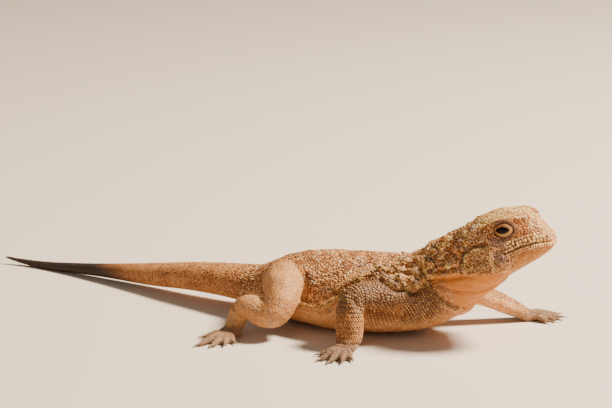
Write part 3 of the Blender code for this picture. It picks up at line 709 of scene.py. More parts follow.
# line, how far below it its hollow lies, how far that reaches to one side, depth
UNDER_FOLDS = (
    (neck_fold, 1.6, 0.9, -0.9),
    (flank, 1.9, 1.1, -1.3),
    (flank_top, 2.0, 1.1, -1.3),
    (shoulder_crest, 1.5, 0.8, -0.8),
    (shoulder_hem, 1.7, 0.9, -1.1),
    (neck_ridges, 1.3, 0.7, -0.6),
    (brow_line, 1.3, 0.7, -0.35),
    (cheek_edge, -1.3, 0.8, -0.85),
)


def fold_skin(points):
    """How far each point moves out, or in if it is negative, for the ridges and creases."""
    amount = np.zeros(len(points))
    for lines, width, height in FOLDS:
        amount += height * np.exp(-((distance_to(points, lines) / width) ** 2))
    # a fold that hangs over has its hollow below it, so its lines are moved down
    for lines, drop, width, depth in UNDER_FOLDS:
        below = [on_skin(line - (0, 0, drop)) for line in lines]
        amount += depth * np.exp(-((distance_to(points, below) / width) ** 2))
    return amount


def knob_skin(points):
    """The hide of the neck and the shoulder is knobbly, that of the back a little uneven."""
    x, _, z = points.T
    head = to_head(points)
    neck = ramp(x, 40, 46) * ramp(-head[:, 0], 19, 24) * ramp(head[:, 2], -3.5, -1.5)
    shoulder = in_outline(x, z, shoulder_patch, 1.0)
    back = (1 - ramp(x, 40, 46)) * ramp(x, -12, 0) * ramp(z, 10, 13)
    # where, height of the knobs, how wide they are, layer of the patches
    knobs = ((neck, 1.6, 2.1, 5), (neck, 0.7, 1.1, 10), (shoulder, 1.2, 1.5, 11), (back, 0.5, 3.2, 6))
    return sum(where * height * (patchiness(points, size, layer) - 0.5)
               for where, height, size, layer in knobs)


unfolded, normals = read_points(skin.data), read_normals(skin.data)
amount = fold_skin(unfolded) + knob_skin(unfolded)
points = unfolded + normals * amount[:, None]
points[:, 2] = np.maximum(points[:, 2], FLOOR_CLEARANCE)
write_points(skin.data, points)
print("folds move the skin by up to", round(float(np.abs(points - unfolded).max()), 2), "mm")

# %% [markdown]
# ## Room for the eyes
# Each eyeball is a piece of its own, so the skin has to open in front of it. A hole could
# be cut there, but a cut leaves a ragged rim. Instead the skin inside an almond that is
# pointed at the back is drawn in behind the eyeball, and the lids cover its rim later.
# Three directions help here: forward across the eye, up across it and out of it.

# %% Open the lids


def eye_frame(side):
    """Centre of an eye and its directions: forward, up, out."""
    out = HEAD_TURN @ np.array([0.14, side, 0.08])  # a little forward and a little up
    out /= np.linalg.norm(out)
    up = HEAD_TURN @ np.array([0.2, 0, 1.0])
    up -= up @ out * out
    up /= np.linalg.norm(up)
    forward = np.cross(up, out) * side
    return from_head(EYE * (1, side, 1)), forward * np.sign(forward @ HEAD_TURN[:, 0]), up, out


ALMOND = (2.0, 0.95, 0.9)  # half length, half height above and below the middle
OPEN_MORE = (0.6, 0.85)  # how much longer and higher the opening in the skin is
SKIN_BEHIND = 1.9  # how far out from the middle of the eyeball the drawn in skin lies


def almond(angle, grow=1.0):
    """A point of the edge of the lids as (forward, up): round in front and pointed at the back."""
    along, rise = np.cos(angle), np.sin(angle)
    taper = np.where(along < 0, 1 - 0.42 * along**2, 1 - 0.1 * along**2)
    height = np.where(rise > 0, ALMOND[1], ALMOND[2])
    return along * ALMOND[0] * grow, rise * taper * height * grow


points = read_points(skin.data)
for side in (1, -1):
    centre, forward, up, out = eye_frame(side)
    away = points - centre
    ahead, rise, reach = away @ forward, away @ up, away @ out
    inside = np.hypot(ahead / (ALMOND[0] + OPEN_MORE[0]), rise / (ALMOND[1] + OPEN_MORE[1]))
    near = (inside < 1.25) & (reach > 0)
    sink = np.clip((1.25 - inside[near]) / 0.35, 0, 1)
    depth = np.maximum(reach[near] - SKIN_BEHIND, 0) * sink
    points[near] -= depth[:, None] * out
write_points(skin.data, points)
print("two eyes opened")

# %% [markdown]
# ## Markings as zones
# The lizard has an orange throat, a pale crown and pale folds, rust and slate flecks, bars
# on the chest and a black end of the tail. Some zones also carry painted shade in hollows,
# on the chin and on the tops of the shoulders. Skin and scales have to carry the same marks.
# They could be painted on an image, but an image is soon too coarse for scales of half a
# millimetre. So every mark is a zone: a number from 0 to 1 for each point of the body,
# worked out from where the point is. The zones are stored on the meshes, and the shader
# turns them into colours. Outlines in profile do for the large ones, because both sides
# of the animal are alike, and distances from lines do for the narrow ones.

# %% Zone tools


def near_lines(points, lines, width):
    """1 on a line, fading to 0 at width millimetres."""
    return 1 - ramp(distance_to(points, lines), width * 0.35, width)


# Outlines in profile: the throat and the lobe of the cheek in the head's frame, the chest
# in the body's
THROAT = ((1, -1.0), (-3, -0.5), (-8, -0.4), (-10.8, -1.4), (-11.3, -4.4), (-13.7, -5.6), (-17, -4.6),
          (-22, -3.6), (-27.3, -2.6), (-33, -2.3), (-38.4, -1.4), (-37.6, -3.8), (-36.8, -6.8),
          (-35, -9.9), (-33, -12.3), (-31, -17), (-20, -22), (6, -20), (4, -3))
CHEST = ((32, 19), (36, 21.5), (44, 19.5), (50, 19), (53.5, 21), (56.5, 17), (58.5, 14.5), (63, 12.5),
         (62, 2), (32, 2))
CHEEK_LOBE = ((-26.6, -1.5), (-26.2, 1.0), (-24, 2.8), (-20, 3.8), (-17, 2.8), (-17.2, -3.6), (-22, -3.4))
rust_line = seen_line((484, 226), (492, 222.5), (500, 220.6), (508, 220.6), (515, 223), (521, 228),
                      (524, 233), (520, 236), mirror=mirror_head)
rust_line += seen_line((515, 229), (519, 234), (524, 237), mirror=mirror_head)
mauve_line = seen_line((493, 242.5), (497, 243), (504, 244), mirror=mirror_head)
mauve_line += seen_line((497, 256), (502, 258), (500, 261), mirror=mirror_head)
slate_line = seen_line((474, 228), (478, 222.5), (481, 221), mirror=mirror_head)
throat_grey = seen_line((441, 288), (444, 293), (447, 299))
brow_spots = seen_line((526, 214.5), (529.5, 217.5), mirror=mirror_head)
snout_line = seen_line((534, 214), (540, 221), (545, 229), (551, 231), mirror=mirror_head)
fold_profile = np.array([row[:3] for row in FLANK_FOLD])
print("zones drawn on", len(brow_line[0]) + len(rust_line[0]), "points of head lines")

# %% What the zones need to know about a place


def limb_share(points):
    """1 on the legs and feet, 0 on the trunk, the head and the tail."""
    share = np.zeros(len(points))
    for leg in LEGS.values():
        rows = smooth_rows(leg["rows"], 0.8)
        start = rows[len(rows) // (5 if leg["hind"] else 4) :]
        foot = np.array([*leg["pad"], 1.5])
        line = np.concatenate([start[:, :3], foot[None]])
        gap = distance_to(points, [dense(line)], reach=9)
        thick = 7.2 if leg["hind"] else 6.4
        share = np.maximum(share, 1 - ramp(gap, thick, thick + 1))
        digits = [dense([row[:3] for row in rows]) for rows, _, _ in foot_lines(leg)]
        share = np.maximum(share, 1 - ramp(distance_to(points, digits), 3.0, 4.0))
    return share


class Spots:
    """Points of the body with the regions that they lie in, each from 0 to 1."""

    def __init__(self, points, normals):
        self.points = points
        self.x, self.y, self.z = points.T
        self.head = to_head(points)
        self.up = normals[:, 2]
        self.inward = -np.sign(self.y) * normals[:, 1]
        self.over_fold = self.z - np.interp(self.x, fold_profile[:, 0], fold_profile[:, 2])
        ahead, height = self.head[:, 0], self.head[:, 2]
        self.front = ramp(self.x, 44, 47)
        self.limb = limb_share(points)
        self.throat = in_outline(ahead, height, THROAT, 0.9) * self.front * (1 - self.limb)
        self.rough = self.front * (1 - self.throat) * (1 - self.limb)  # the side of head and neck
        self.chest = in_outline(self.x, self.z, CHEST, 1.2) * (1 - self.throat)
        self.chest = self.chest * ramp(np.abs(self.y), 5, 8)
        self.neck = self.rough * (1 - ramp(ahead, -24, -19)) * (1 - self.chest) * ramp(height, -5, -2.5)
        self.shoulder = in_outline(self.x, self.z, shoulder_patch, 0.8)
        self.crown = ramp(height, 8.6, 11) * ramp(ahead, -27, -17)
        self.jaw = self.throat * ramp(ahead, -15, -9)
        self.lobe = in_outline(ahead, height, CHEEK_LOBE, 0.8) * (1 - self.throat)
        self.trunk = ramp(self.x, -14, -6) * (1 - ramp(self.x, 33, 38))
        self.back = (1 - self.front) * ramp(self.x, -12, 0) * (1 - self.limb) * (self.up > 0.1)
        self.foreleg = self.limb * (self.x > 22)
        self.hindleg = self.limb * (self.x < 22)
        self.inner_limb = self.limb * ramp(self.inward - 0.4 * self.up, 0.0, 0.55)
        self.nostril = self.near(nostrils, 0.8)
        self.brow_spot = self.near(brow_spots, 1.5)

    def near(self, lines, width):
        return near_lines(self.points, lines, width)

    def blotches(self, region, size, layer, low, high):
        """Random spots in a region, where the patchiness passes from low to high."""
        return getattr(self, region) * ramp(patchiness(self.points, size, layer), low, high)


def strongest(*marks):
    """The highest of several marks at each point."""
    return np.maximum.reduce(marks)


test_place = from_head([[-10, 0, 12]])
print("crown at the top of the head:", Spots(test_place, test_place * 0 + (0, 0, 1)).crown.round(2))

# %% Pale, rust and slate marks
# lines, how strong the mark is on them, how far it fades to one side
CREAM_LINES = ((brow_line, 0.9, 1.5), ([*neck_fold, *pouch_edge], 0.75, 0.8), (flank, 0.6, 1.2),
               (snout_line, 0.65, 1.8), (flap_edge, 0.8, 0.9), (cheek_edge, 0.95, 1.0))
# region, size, layer, where the spots begin and are full in the patchiness, how strong
RUST_SPOTS = (("jaw", 1.0, 17, 0.45, 0.65, 0.6), ("neck", 3.4, 1, 0.45, 0.62, 0.8),
              ("shoulder", 1.7, 13, 0.45, 0.6, 0.75), ("back", 4.5, 7, 0.5, 0.7, 0.5))
SLATE_SPOTS = (("neck", 1.1, 2, 0.6, 0.7, 0.65), ("shoulder", 1.1, 12, 0.54, 0.64, 0.35),
               ("crown", 1.1, 3, 0.6, 0.7, 0.45), ("back", 1.4, 4, 0.68, 0.78, 0.5),
               ("hindleg", 1.2, 14, 0.6, 0.7, 0.3))


def cream_marks(s):
    crests = s.near([*shoulder_crest, *shoulder_hem, *flank_top], 1.3)
    lumps = ramp(patchiness(s.points, 1.2, 9), 0.4, 0.6)
    bright = ramp(patchiness(s.points, 1.1), 0.58, 0.68)
    pale_arm = s.limb * ramp(s.x, 46, 50) * (1 - ramp(s.x, 58, 63)) * ramp(s.inward, 0.1, 0.5)
    cream = strongest(
        *(strength * s.near(lines, width) for lines, strength, width in CREAM_LINES),
        np.maximum(0.8 * crests, 0.45 * s.shoulder) * lumps,
        bright * np.maximum(0.8 * s.neck, 0.15 * s.rough),
        (0.3 + 0.55 * patchiness(s.points, 1.1, 8)) * s.crown,
        0.45 * s.blotches("jaw", 0.9, 16, 0.55, 0.7),
        0.75 * pale_arm,
    )
    return cream * (1 - s.brow_spot) * (1 - s.nostril)


def rust_marks(s):
    rust = strongest(
        s.near(rust_line, 2.7),
        s.brow_spot,
        0.6 * s.near(shoulder_hem, 1.8),
        *(strength * s.blotches(*spots) for *spots, strength in RUST_SPOTS),
    )
    rust = rust * (1 - 0.75 * s.trunk * (1 - ramp(s.over_fold, 3, 8)))
    return np.maximum(rust, 0.5 * ramp(-s.x, 8, 16) * ramp(0.8 - s.up, 0, 0.6))


def slate_marks(s):
    return strongest(
        0.9 * s.near(slate_line, 1.8),
        0.3 * s.near(throat_grey, 3.6) * s.throat,
        0.4 * s.limb * (1 - ramp(s.z, 2.5, 4.5)),
        s.nostril,
        *(strength * s.blotches(*spots) for *spots, strength in SLATE_SPOTS),
    )


print(len(CREAM_LINES), "pale lines,", len(RUST_SPOTS) + len(SLATE_SPOTS), "kinds of spots")

# %% Dark marks and all zones together
BLACK_TAIL = (-76, -56)  # where along the tail black ends, and where it begins to fade


def mouth_gap(head):
    """1 in the band of the large scales along the lips, whose seams are dark."""
    behind = -head[:, 0]
    over = head[:, 2] - np.interp(behind, *zip(*MOUTH))
    return (ramp(over, -0.5, 0) * (1 - ramp(over, 2.3, 2.9))
            * ramp(behind, 1, 3) * (1 - ramp(behind, 12, 13.5)))


def black_tail(s):
    """Black reaches further up the tail on its underside."""
    return 1 - ramp(s.x + 5 * s.up, *BLACK_TAIL)


# Dark marks: the black end of the tail, dark seams along the lips, dark specks on the cheek lobe, a darker
# outer side of the forelegs and darker feet, and painted shade behind the cheeks, by the thighs, in the
# nostrils, on the chin and on the tops of the shoulders.
def dark_marks_and_painted_shade(s, chest, cream):
    behind_cheek = [line + HEAD_TURN @ (0, 0, 1.3) for line in cheek_edge]
    outer = 1 - s.inner_limb
    return strongest(
        black_tail(s),
        # painted shade in the hollow behind and above the cheek lobe
        0.8 * s.near(behind_cheek, 1.3),
        # painted shade in the gap between the thigh and the flank
        0.8 * s.near(thigh_gap[:1], 1.5) * (1 - s.limb),
        # painted shade in the nostrils
        0.85 * s.near(nostrils, 0.75),
        0.6 * mouth_gap(s.head),
        # painted shade on the chin, which faces the floor
        0.2 * s.jaw,
        # painted shade on the top of the shoulder and the upper arm
        (0.3 + 0.14 * s.limb) * chest * ramp(s.z, 11, 15) * outer,
        0.12 * s.foreleg * outer,
        0.2 * s.limb * (1 - ramp(s.z, 3, 6)),
        0.3 * s.blotches("lobe", 0.9, 15, 0.4, 0.55) * (1 - cream),
    )


def under_marks(s):
    """The plain pale underside of the body and the inner side of the limbs."""
    under = strongest(
        s.trunk * ramp(-s.over_fold, 0.2, 1.6),
        ramp(-s.up, 0.35, 0.8) * (1 - s.throat),
        ramp(s.x, 33, 38) * (1 - s.front) * ramp(10 - s.z, 0, 6),
    )
    return np.maximum(under * (1 - s.limb), s.inner_limb) * (1 - black_tail(s))


def zones(points, normals):
    """The zones as columns: throat, cream, rust, slate, under, black (also painted shade), chest, mauve,
    limb.
    """
    s = Spots(points, normals)
    cream = cream_marks(s)
    chest = np.maximum(s.chest, s.limb * ramp(s.x, 20, 26)) * (1 - s.inner_limb)
    # the upper arms have the strong dark spots of the shoulder, so they count less as limbs
    limb = s.limb * (1 - 0.65 * ramp(s.z, 10, 12.5) * (s.x > 22))
    return np.stack([s.throat, cream, rust_marks(s), slate_marks(s), under_marks(s),
                     dark_marks_and_painted_shade(s, chest, cream), chest, 0.8 * s.near(mauve_line, 1.9), limb], 1)


print("zones of the top of the head:", zones(test_place, test_place * 0 + (0, 0, 1)).round(2))

# %% [markdown]
# ## Places of the scales
# On the trunk, the tail and the forelegs the scales stand in rows like tiles. Instances
# on the points of a grid could do that, but a grid bunches up where the body gets thin.
# So a ring round the body is measured for every row, scales are set along it at even
# steps from the middle of the back, and every other ring is moved by half a step. On the
# head, the neck and the hind legs they are uneven grains, so there they are thrown at
# random and one that lands too near another is dropped. The tree answers where the skin
# is and which way it faces.

# %% Rows of scales round a body
tree = skin_tree()


class Places:
    """Where scales stand: root, normal, lie, length and kind for each."""

    def __init__(self):
        self.cells = {}
        self.rows = []

    def free(self, place, gap):
        """Whether no scale stands nearer than gap, by looking only in the cells round a place."""
        px, py, pz = place
        x, y, z = (int(c // 1.0) for c in place)
        for i in (x - 1, x, x + 1):
            for j in (y - 1, y, y + 1):
                for k in (z - 1, z, z + 1):
                    for ox, oy, oz in self.cells.get((i, j, k), ()):
                        if (ox - px) ** 2 + (oy - py) ** 2 + (oz - pz) ** 2 < gap * gap:
                            return False
        return True

    def add(self, place, normal, lie, size, kind):
        self.cells.setdefault(tuple(int(c // 1.0) for c in place), []).append(tuple(place))
        self.rows.append((*place, *normal, *lie, size, kind))


KEELED, GRAIN, PLATE, FLAT, THORN, LABIAL = range(6)
ABOVE_FLOOR = 0.12  # no scale stands lower than this
places = Places()


def always(value):
    return lambda place: value


def ring_rows(rows, side, pitch, along, kind, lie=1, keep=None, turns=64, uneven=always(0)):
    """Scales in rings along a line. pitch is their distance across the lie, and along is the
    distance of the rings in pitches. uneven tells how much sizes and steps stray at a place."""
    rows = smooth_rows([tuple(r) if len(r) == 6 else (*r, r[4]) for r in rows], 0.25)
    ahead, across, up = line_frames(rows, side)
    reach = reach_along(rows[:, :3])
    angles = np.arange(turns + 1) * 2 * np.pi / turns
    at, ring, made = 0.2, 0, 0
    while at < reach[-1]:
        k = int(np.searchsorted(reach, at))
        share = at / reach[-1]
        row, size = rows[k], pitch(share)
        middle = Vector(row[:3])
        ways = np.cos(angles)[:, None] * up[k] + np.sin(angles)[:, None] * across[k]
        thick = np.where(np.cos(angles) > 0, row[4], row[5])
        plain = 1 / np.hypot(np.sin(angles) / row[3], np.cos(angles) / thick)
        radius = np.array([tree.ray_cast(middle, Vector(way))[3] or 1e3 for way in ways])
        good = radius < plain * 1.35 + 0.8  # a ray that goes into a limb finds its far side
        radius = np.where(good, radius, plain)
        outline = row[:3] + ways * radius[:, None]
        arc = reach_along(outline)
        half = arc[turns // 2]
        steps = np.arange(0.5 * (ring % 2), half / size, 1.0) * size
        steps = np.concatenate([steps, arc[-1] - steps[steps > 1e-6]])
        for s in steps:
            angle = np.interp(s, arc, angles)
            if not good[int(round(angle / (2 * np.pi) * turns))]:
                continue
            way = math.cos(angle) * up[k] + math.sin(angle) * across[k]
            place, normal, _, _ = tree.ray_cast(middle, Vector(way))
            if place is None or place.z < ABOVE_FLOOR or (keep and not keep(place)):
                continue
            stray = uneven(place)
            if stray:
                shift = rng.normal(0, 0.32 * size * stray, 3)
                place, normal, _, _ = tree.find_nearest(place + Vector(shift))
            grow = 1 + stray * rng.uniform(-0.22, 0.3)
            if places.free(place, size * grow * 0.62):
                places.add(place, normal, ahead[k] * lie, size * grow, kind)
                made += 1
        at += size * along(share)
        ring += 1
    return made


def on_trunk(place):
    """The rows of the trunk end where the throat and the neck begin."""
    head = to_head(np.array(place))
    return place.x < 56 and not (place.x > 46 and (head[2] > -1.0 or head[0] > -36.5))


def back_stray(place):
    """The rows are ragged on the back and the flanks and neat on the chest and the belly."""
    stray = float(ramp(place.z, 11, 15) * (1 - ramp(place.x, 30, 36) * (1 - ramp(place.z, 19, 22))))
    return max(stray, 0.35 if place.x < 34 else 0.0)


def trunk_along(share):
    """The rings are further apart on the chest, where they show as upright bars."""
    return 0.8 + 0.28 * float(ramp(share, 0.52, 0.6)) - 0.26 * float(ramp(share, 0.66, 0.72))


def trunk_size(share):
    """They are finer on the back than on the shoulder and the chest."""
    return 0.8 + 0.16 * float(ramp(share, 0.5, 0.6))


print("rings on the back", trunk_along(0), "and on the chest", trunk_along(0.63), "pitches apart")

# %% Rows of the trunk, the tail, the forelegs and the digits


def from_root(start, end):
    """A value that goes evenly from the root of a limb to its end."""
    return lambda share: start - (start - end) * share


count = ring_rows(TRUNK, (0, 1, 0), trunk_size, trunk_along, KEELED, lie=-1, keep=on_trunk,
                  uneven=back_stray)
print("trunk:", count, "scales")
count = ring_rows(TAIL, (0, 1, 0), from_root(0.88, 0.38), always(0.85), KEELED,
                  keep=lambda place: place.x < -8, uneven=always(0.35))
print("tail:", count, "scales")
for name, leg in LEGS.items():
    if not leg["hind"]:
        count = ring_rows(leg["rows"], leg["side"], from_root(1.0, 0.75), always(0.77), KEELED,
                          uneven=always(0.2))
        print(name + ":", count, "scales")
for leg in LEGS.values():
    for rows, across, _ in foot_lines(leg):
        ring_rows(rows, across, from_root(0.52, 0.42), always(0.9), GRAIN, turns=24)
print("with the digits:", len(places.rows), "scales")

# %% [markdown]
# The labial scales come next: three rows above the line of the mouth and two below it.
# They are the largest on the head, pale with dark seams, and they get smaller towards the
# corner of the mouth. Random ones would blur the line of the mouth, so each row is walked
# from one corner round the snout to the other.

# %% Rows along the lips
lips = []


def lip_row(above, size, kind):
    line = dense(from_head(mouth_line(above, front=0.0, back=12.6)), 0.05)
    reach = reach_along(line)
    at = size / 2
    while at < reach[-1]:
        k = int(np.searchsorted(reach, at))
        from_snout = abs(at / reach[-1] - 0.5) * 2
        grow = size * (1.08 - 0.3 * from_snout) * rng.uniform(0.8, 1.22)
        place, normal, _, _ = tree.find_nearest(Vector(line[k] + rng.normal(0, 0.08, 3) * size))
        if places.free(place, grow * 0.55):
            lie = line[min(k + 3, len(line) - 1)] - np.array(place)
            places.add(place, normal, lie, grow, kind)
            lips.append(len(places.rows) - 1)
        at += grow * 0.99


# height above the line of the mouth, size, kind
LIP_ROWS = ((0.66, 1.16, LABIAL), (1.68, 1.2, LABIAL), (2.66, 1.0, LABIAL),
            (-0.62, 0.86, GRAIN), (-1.34, 0.72, GRAIN))
for row in LIP_ROWS:
    lip_row(*row)
print(len(lips), "lip scales")

# %% [markdown]
# Everywhere else the scales are grains that follow no rows. Each region has its own size
# and kind: flat ones on the throat, wide plates on the crown, the finest on the cheek and
# round the eye, and pointed ones on the neck. They could be scattered by a modifier, but
# thrown one by one each can look at those that are there already and keep clear of them.
# Large ones are thrown first, and smaller ones then fill the gaps.

# %% Sizes and kinds on the head
CROWN_HEIGHT = 9.2  # above this the head has plates, in the head's frame
NECK_END = 58  # where the neck ends and the shoulders begin, in the body's frame


def head_sizes(points):
    """How large the grains are at places of the head and the neck."""
    head = to_head(points)
    ahead, height = head[:, 0], head[:, 2]
    sizes = np.full(len(points), 0.7)
    sizes[in_outline(ahead, height, THROAT, 0.3) > 0.5] = 0.52
    sizes[in_outline(ahead, height, CHEEK_LOBE, 0.3) > 0.5] = 0.46
    sizes[(ahead > -6) & (height > 2)] = 0.7
    sizes[(ahead > -24) & (ahead < -6) & (height > -1) & (height < 9)] = 0.52
    sizes[(ahead > -24) & (height > CROWN_HEIGHT)] = 0.82
    for side in (1, -1):
        sizes[np.linalg.norm(head - EYE * (1, side, 1), axis=1) < 5.0] = 0.48
    return sizes


def in_eye(points):
    """Whether points lie in a nostril or where the lids will be."""
    inside = distance_to(points, nostrils) < 0.5
    for side in (1, -1):
        centre, forward, up, out = eye_frame(side)
        away = points - centre
        across = np.hypot(away @ forward / (ALMOND[0] + 1.2), away @ up / (ALMOND[1] + 1.6))
        inside |= (away @ out > 0) & (across < 1)
    return inside


def head_kinds(points):
    head = to_head(points)
    ahead, height = head[:, 0], head[:, 2]
    kinds = np.full(len(points), GRAIN)
    kinds[height > CROWN_HEIGHT] = PLATE
    kinds[(ahead < -21) & (height > -3) & (rng.random(len(head)) < 0.8)] = THORN
    kinds[in_outline(ahead, height, THROAT, 0.3) > 0.5] = FLAT
    behind = points[:, 0] < NECK_END
    kinds[behind] = np.where(points[behind, 2] > 17, THORN, KEELED)
    return kinds


print("size on the crown:", head_sizes(test_place)[0], "mm")


def throw_scales(region, tries, sizes_at, kinds_at, lies_at, room=0.84):
    """Drops grains at random on the faces of a region and keeps those with room round them."""
    faces = np.array([tuple(f.vertices) for f in skin.data.polygons])
    corners = read_points(skin.data)
    normals = read_normals(skin.data)
    chosen = np.where(region(corners[faces].mean(1)))[0]
    pick = chosen[rng.integers(0, len(chosen), tries)]
    mix = rng.dirichlet(np.ones(4), tries)[:, :, None]
    spots = (corners[faces[pick]] * mix).sum(1)
    facing = (normals[faces[pick]] * mix).sum(1)
    sizes, kinds, lies = sizes_at(spots), kinds_at(spots), lies_at(spots)
    grow = rng.uniform(0.95, 1.2, tries)
    skip = in_eye(spots) | (spots[:, 2] < ABOVE_FLOOR)
    made = 0
    for i in np.where(~skip)[0]:
        if places.free(spots[i], sizes[i] * room):
            places.add(spots[i], facing[i], lies[i], sizes[i] * grow[i], kinds[i])
            made += 1
    return made


def all_of(value):
    """The same size or kind for all points."""
    return lambda points: np.full(len(points), value)


def lying(way):
    """The same lie for all points."""
    return lambda points: np.tile(way, (len(points), 1))


def outwards(points):
    """The lie on the feet, which point away from the body."""
    return np.stack([points[:, 0] * 0, np.sign(points[:, 1]), points[:, 0] * 0], 1)


def between_rows(middle):
    """The back, the nape and the flanks, with the root of the tail."""
    behind = (middle[:, 0] <= 35) | (middle[:, 2] > 19)
    return behind & (np.abs(middle[:, 0] + 7) < 53)


print("ready to throw scales on", len(skin.data.polygons), "faces")

# %% Grains of the head, the neck and the hind legs
to_nape, to_tail, downwards = lying(-HEAD_TURN[:, 0]), lying((-1.0, 0, 0)), lying((0, 0, -1.0))

count = throw_scales(lambda middle: middle[:, 0] > 44, 90000, head_sizes, head_kinds, to_nape)
print("head and neck:", count, "scales")
count = throw_scales(lambda middle: middle[:, 0] > 44, 60000, lambda points: head_sizes(points) * 0.72,
                     head_kinds, to_nape, room=0.8)
count += throw_scales(lambda middle: to_head(middle)[:, 0] > -25, 36000,
                      lambda points: head_sizes(points) * 0.5, head_kinds, to_nape, room=0.86)
print("small ones between them:", count, "scales")
count = throw_scales(lambda middle: (middle[:, 0] < 22) & (limb_share(middle) > 0.5), 60000,
                     all_of(0.62), all_of(FLAT), downwards)
print("hind legs:", count, "scales")

# %% Small grains between the rows, and the feet
count = throw_scales(between_rows, 90000, all_of(0.55), all_of(GRAIN), to_tail, room=1.06)
count += throw_scales(lambda middle: (middle[:, 0] > 35) & (middle[:, 0] <= 56) & (middle[:, 2] < 19),
                      30000, all_of(0.6), all_of(GRAIN), to_tail, room=1.25)
print("small ones between the rows:", count, "scales")
count = throw_scales(lambda middle: (middle[:, 2] < 7) & (np.abs(middle[:, 1]) > 20), 20000,
                     all_of(0.55), all_of(GRAIN), outwards)
print("feet:", count, "scales; in all", len(places.rows))

# %% [markdown]
# ## The shape of a scale
# Every scale is a small solid of its own: a foot ring sunk in the skin, a smaller ring
# above it and a point on top. A keeled scale is drawn out to a point at the back and has
# a ridge along its middle, a grain is a round bead, a plate is wide with a flat top and
# a throat scale hardly stands up at all. A bump in the shader could draw them too, but
# its outline stays smooth, and real scales catch the light on their rims. All scales of a
# kind are made in one go with arrays, since a loop over forty thousand would be slow.

# %% Templates
# x is along the lie, y across it, z up; all for a scale of size 1
LEAF = np.array([(0.64, 0), (0.38, 0.3), (0.02, 0.47), (-0.33, 0.38), (-0.46, 0),
                 (-0.33, -0.38), (0.02, -0.47), (0.38, -0.3)])


def template(outline, rings, top):
    """(points, quads, triangles, edge) of a scale. Each ring: how wide, how high, and how near
    the seam it is, from 1 at the foot to 0 on top."""
    count = len(outline)
    stack = [np.c_[outline * wide, np.full(count, 1.0) * high] for wide, high, _ in rings]
    points = np.concatenate([*stack, [top]])
    a = np.arange(count)
    b = np.roll(a, -1)
    band = np.stack([a, b, b + count, a + count], 1)
    quads = np.concatenate([band + count * i for i in range(len(rings) - 1)])
    last = count * (len(rings) - 1)
    triangles = np.stack([a + last, b + last, np.full(count, last + count)], 1)
    edge = np.concatenate([np.repeat([ring[2] for ring in rings], count), [0.0]])
    return points, quads, triangles, edge


def polygon(count, radius):
    angle = np.arange(count) * 2 * np.pi / count
    return np.stack([np.cos(angle), np.sin(angle)], 1) * radius


# heights of the second and the third ring, from the tip of the leaf round to the tip again
THORN_LOW = np.array([1.3, 0.6, 0.35, 0.24, 0.2, 0.24, 0.35, 0.6])
THORN_HIGH = np.array([1.75, 1.1, 0.9, 0.6, 0.6, 0.6, 0.9, 1.1])
LEAF_LOW = np.array([0.8, 0.5, 0.32, 0.24, 0.2, 0.24, 0.32, 0.5])
LEAF_HIGH = np.array([1.08, 0.84, 0.74, 0.64, 0.78, 0.64, 0.74, 0.84])
# outline, rings from the foot up, the point on top, and the height for a size of 1
SHAPES = {
    KEELED: (LEAF, ((1, -0.35, 1), (0.93, LEAF_LOW, 0.7), (0.58, LEAF_HIGH, 0.1)), (0.1, 0, 1.1), 0.27),
    GRAIN: (polygon(6, 0.5), ((1, -0.35, 1), (0.92, 0.42, 0.72), (0.6, 0.86, 0.1)), (0, 0, 1), 0.36),
    PLATE: (polygon(8, 0.48), ((1, -0.35, 1), (0.93, 0.45, 0.9), (0.68, 0.88, 0.1)), (0, 0, 1), 0.27),
    FLAT: (polygon(6, 0.56), ((1, -0.35, 1), (0.93, 0.4, 0.7), (0.68, 0.88, 0.1)), (0, 0, 1), 0.15),
    LABIAL: (polygon(8, 0.49), ((1, -0.35, 1), (0.9, 0.42, 1), (0.64, 0.86, 0.1)), (0, 0, 1), 0.34),
    THORN: (LEAF, ((1, -0.5, 1), (0.9, THORN_LOW, 0.7), (0.5, THORN_HIGH, 0.1)), (0.16, 0, 1.7), 0.3),
}
TEMPLATES = {kind: (template(*shape), height) for kind, (*shape, height) in SHAPES.items()}
print({len(shape[0][0]) for shape in TEMPLATES.values()}, "points in a scale")

# %% [markdown]
# ## Where the colours of the scales go if they are baked
# For use outside Blender the materials can be baked to an image, and then each scale needs
# its own small spot there. Forty thousand scales unwrapped one by one would leave each a few
# pixels, and scales that share a single spot would all get one colour. So the skin is
# unwrapped once, and each scale gets a patch of the map at the place of its root.

# %% Unwrap the skin
bpy.context.view_layer.objects.active = skin
skin.select_set(True)
bpy.ops.object.mode_set(mode="EDIT")
bpy.ops.mesh.select_all(action="SELECT")
bpy.ops.uv.smart_project(angle_limit=math.radians(66), island_margin=0.003)
bpy.ops.object.mode_set(mode="OBJECT")
skin.data.uv_layers[0].name = "OFBake"
skin_map = np.empty(len(skin.data.loops) * 2, np.float32)
skin.data.uv_layers["OFBake"].data.foreach_get("uv", skin_map)
first_corner = np.array([p.loop_start for p in skin.data.polygons])
face_map = skin_map.reshape(-1, 2)[first_corner[:, None] + np.arange(4)].mean(1)
PATCH = 0.003  # how wide the patch of a scale is on the map
print("map of the skin spans", face_map.min(0).round(2), face_map.max(0).round(2))

# %% Meshes from arrays
LOWEST = 0.01  # no point of a scale or a spine lies lower than this


def unit(vectors):
    return vectors / np.maximum(np.linalg.norm(vectors, axis=1), 1e-9)[:, None]


def flattened(vectors, up):
    """Directions turned into the plane that up stands on."""
    return unit(vectors - (vectors * up).sum(1)[:, None] * up)


def store(mesh, name, values):
    """Keeps up to four numbers for each point of a mesh."""
    filled = np.zeros((len(values), 4), np.float32)
    filled[:, : values.shape[1]] = values
    attribute = mesh.attributes.new(name, "FLOAT_COLOR", "POINT")
    attribute.data.foreach_set("color", filled.ravel())


def store_marks(mesh, zone, surface):
    """zone: the columns of zones(). surface: tone, edge, rear for each point."""
    store(mesh, "zones_1", zone[:, 0:4])
    store(mesh, "zones_2", zone[:, 4:8])
    store(mesh, "surface", np.c_[surface, zone[:, 8]])


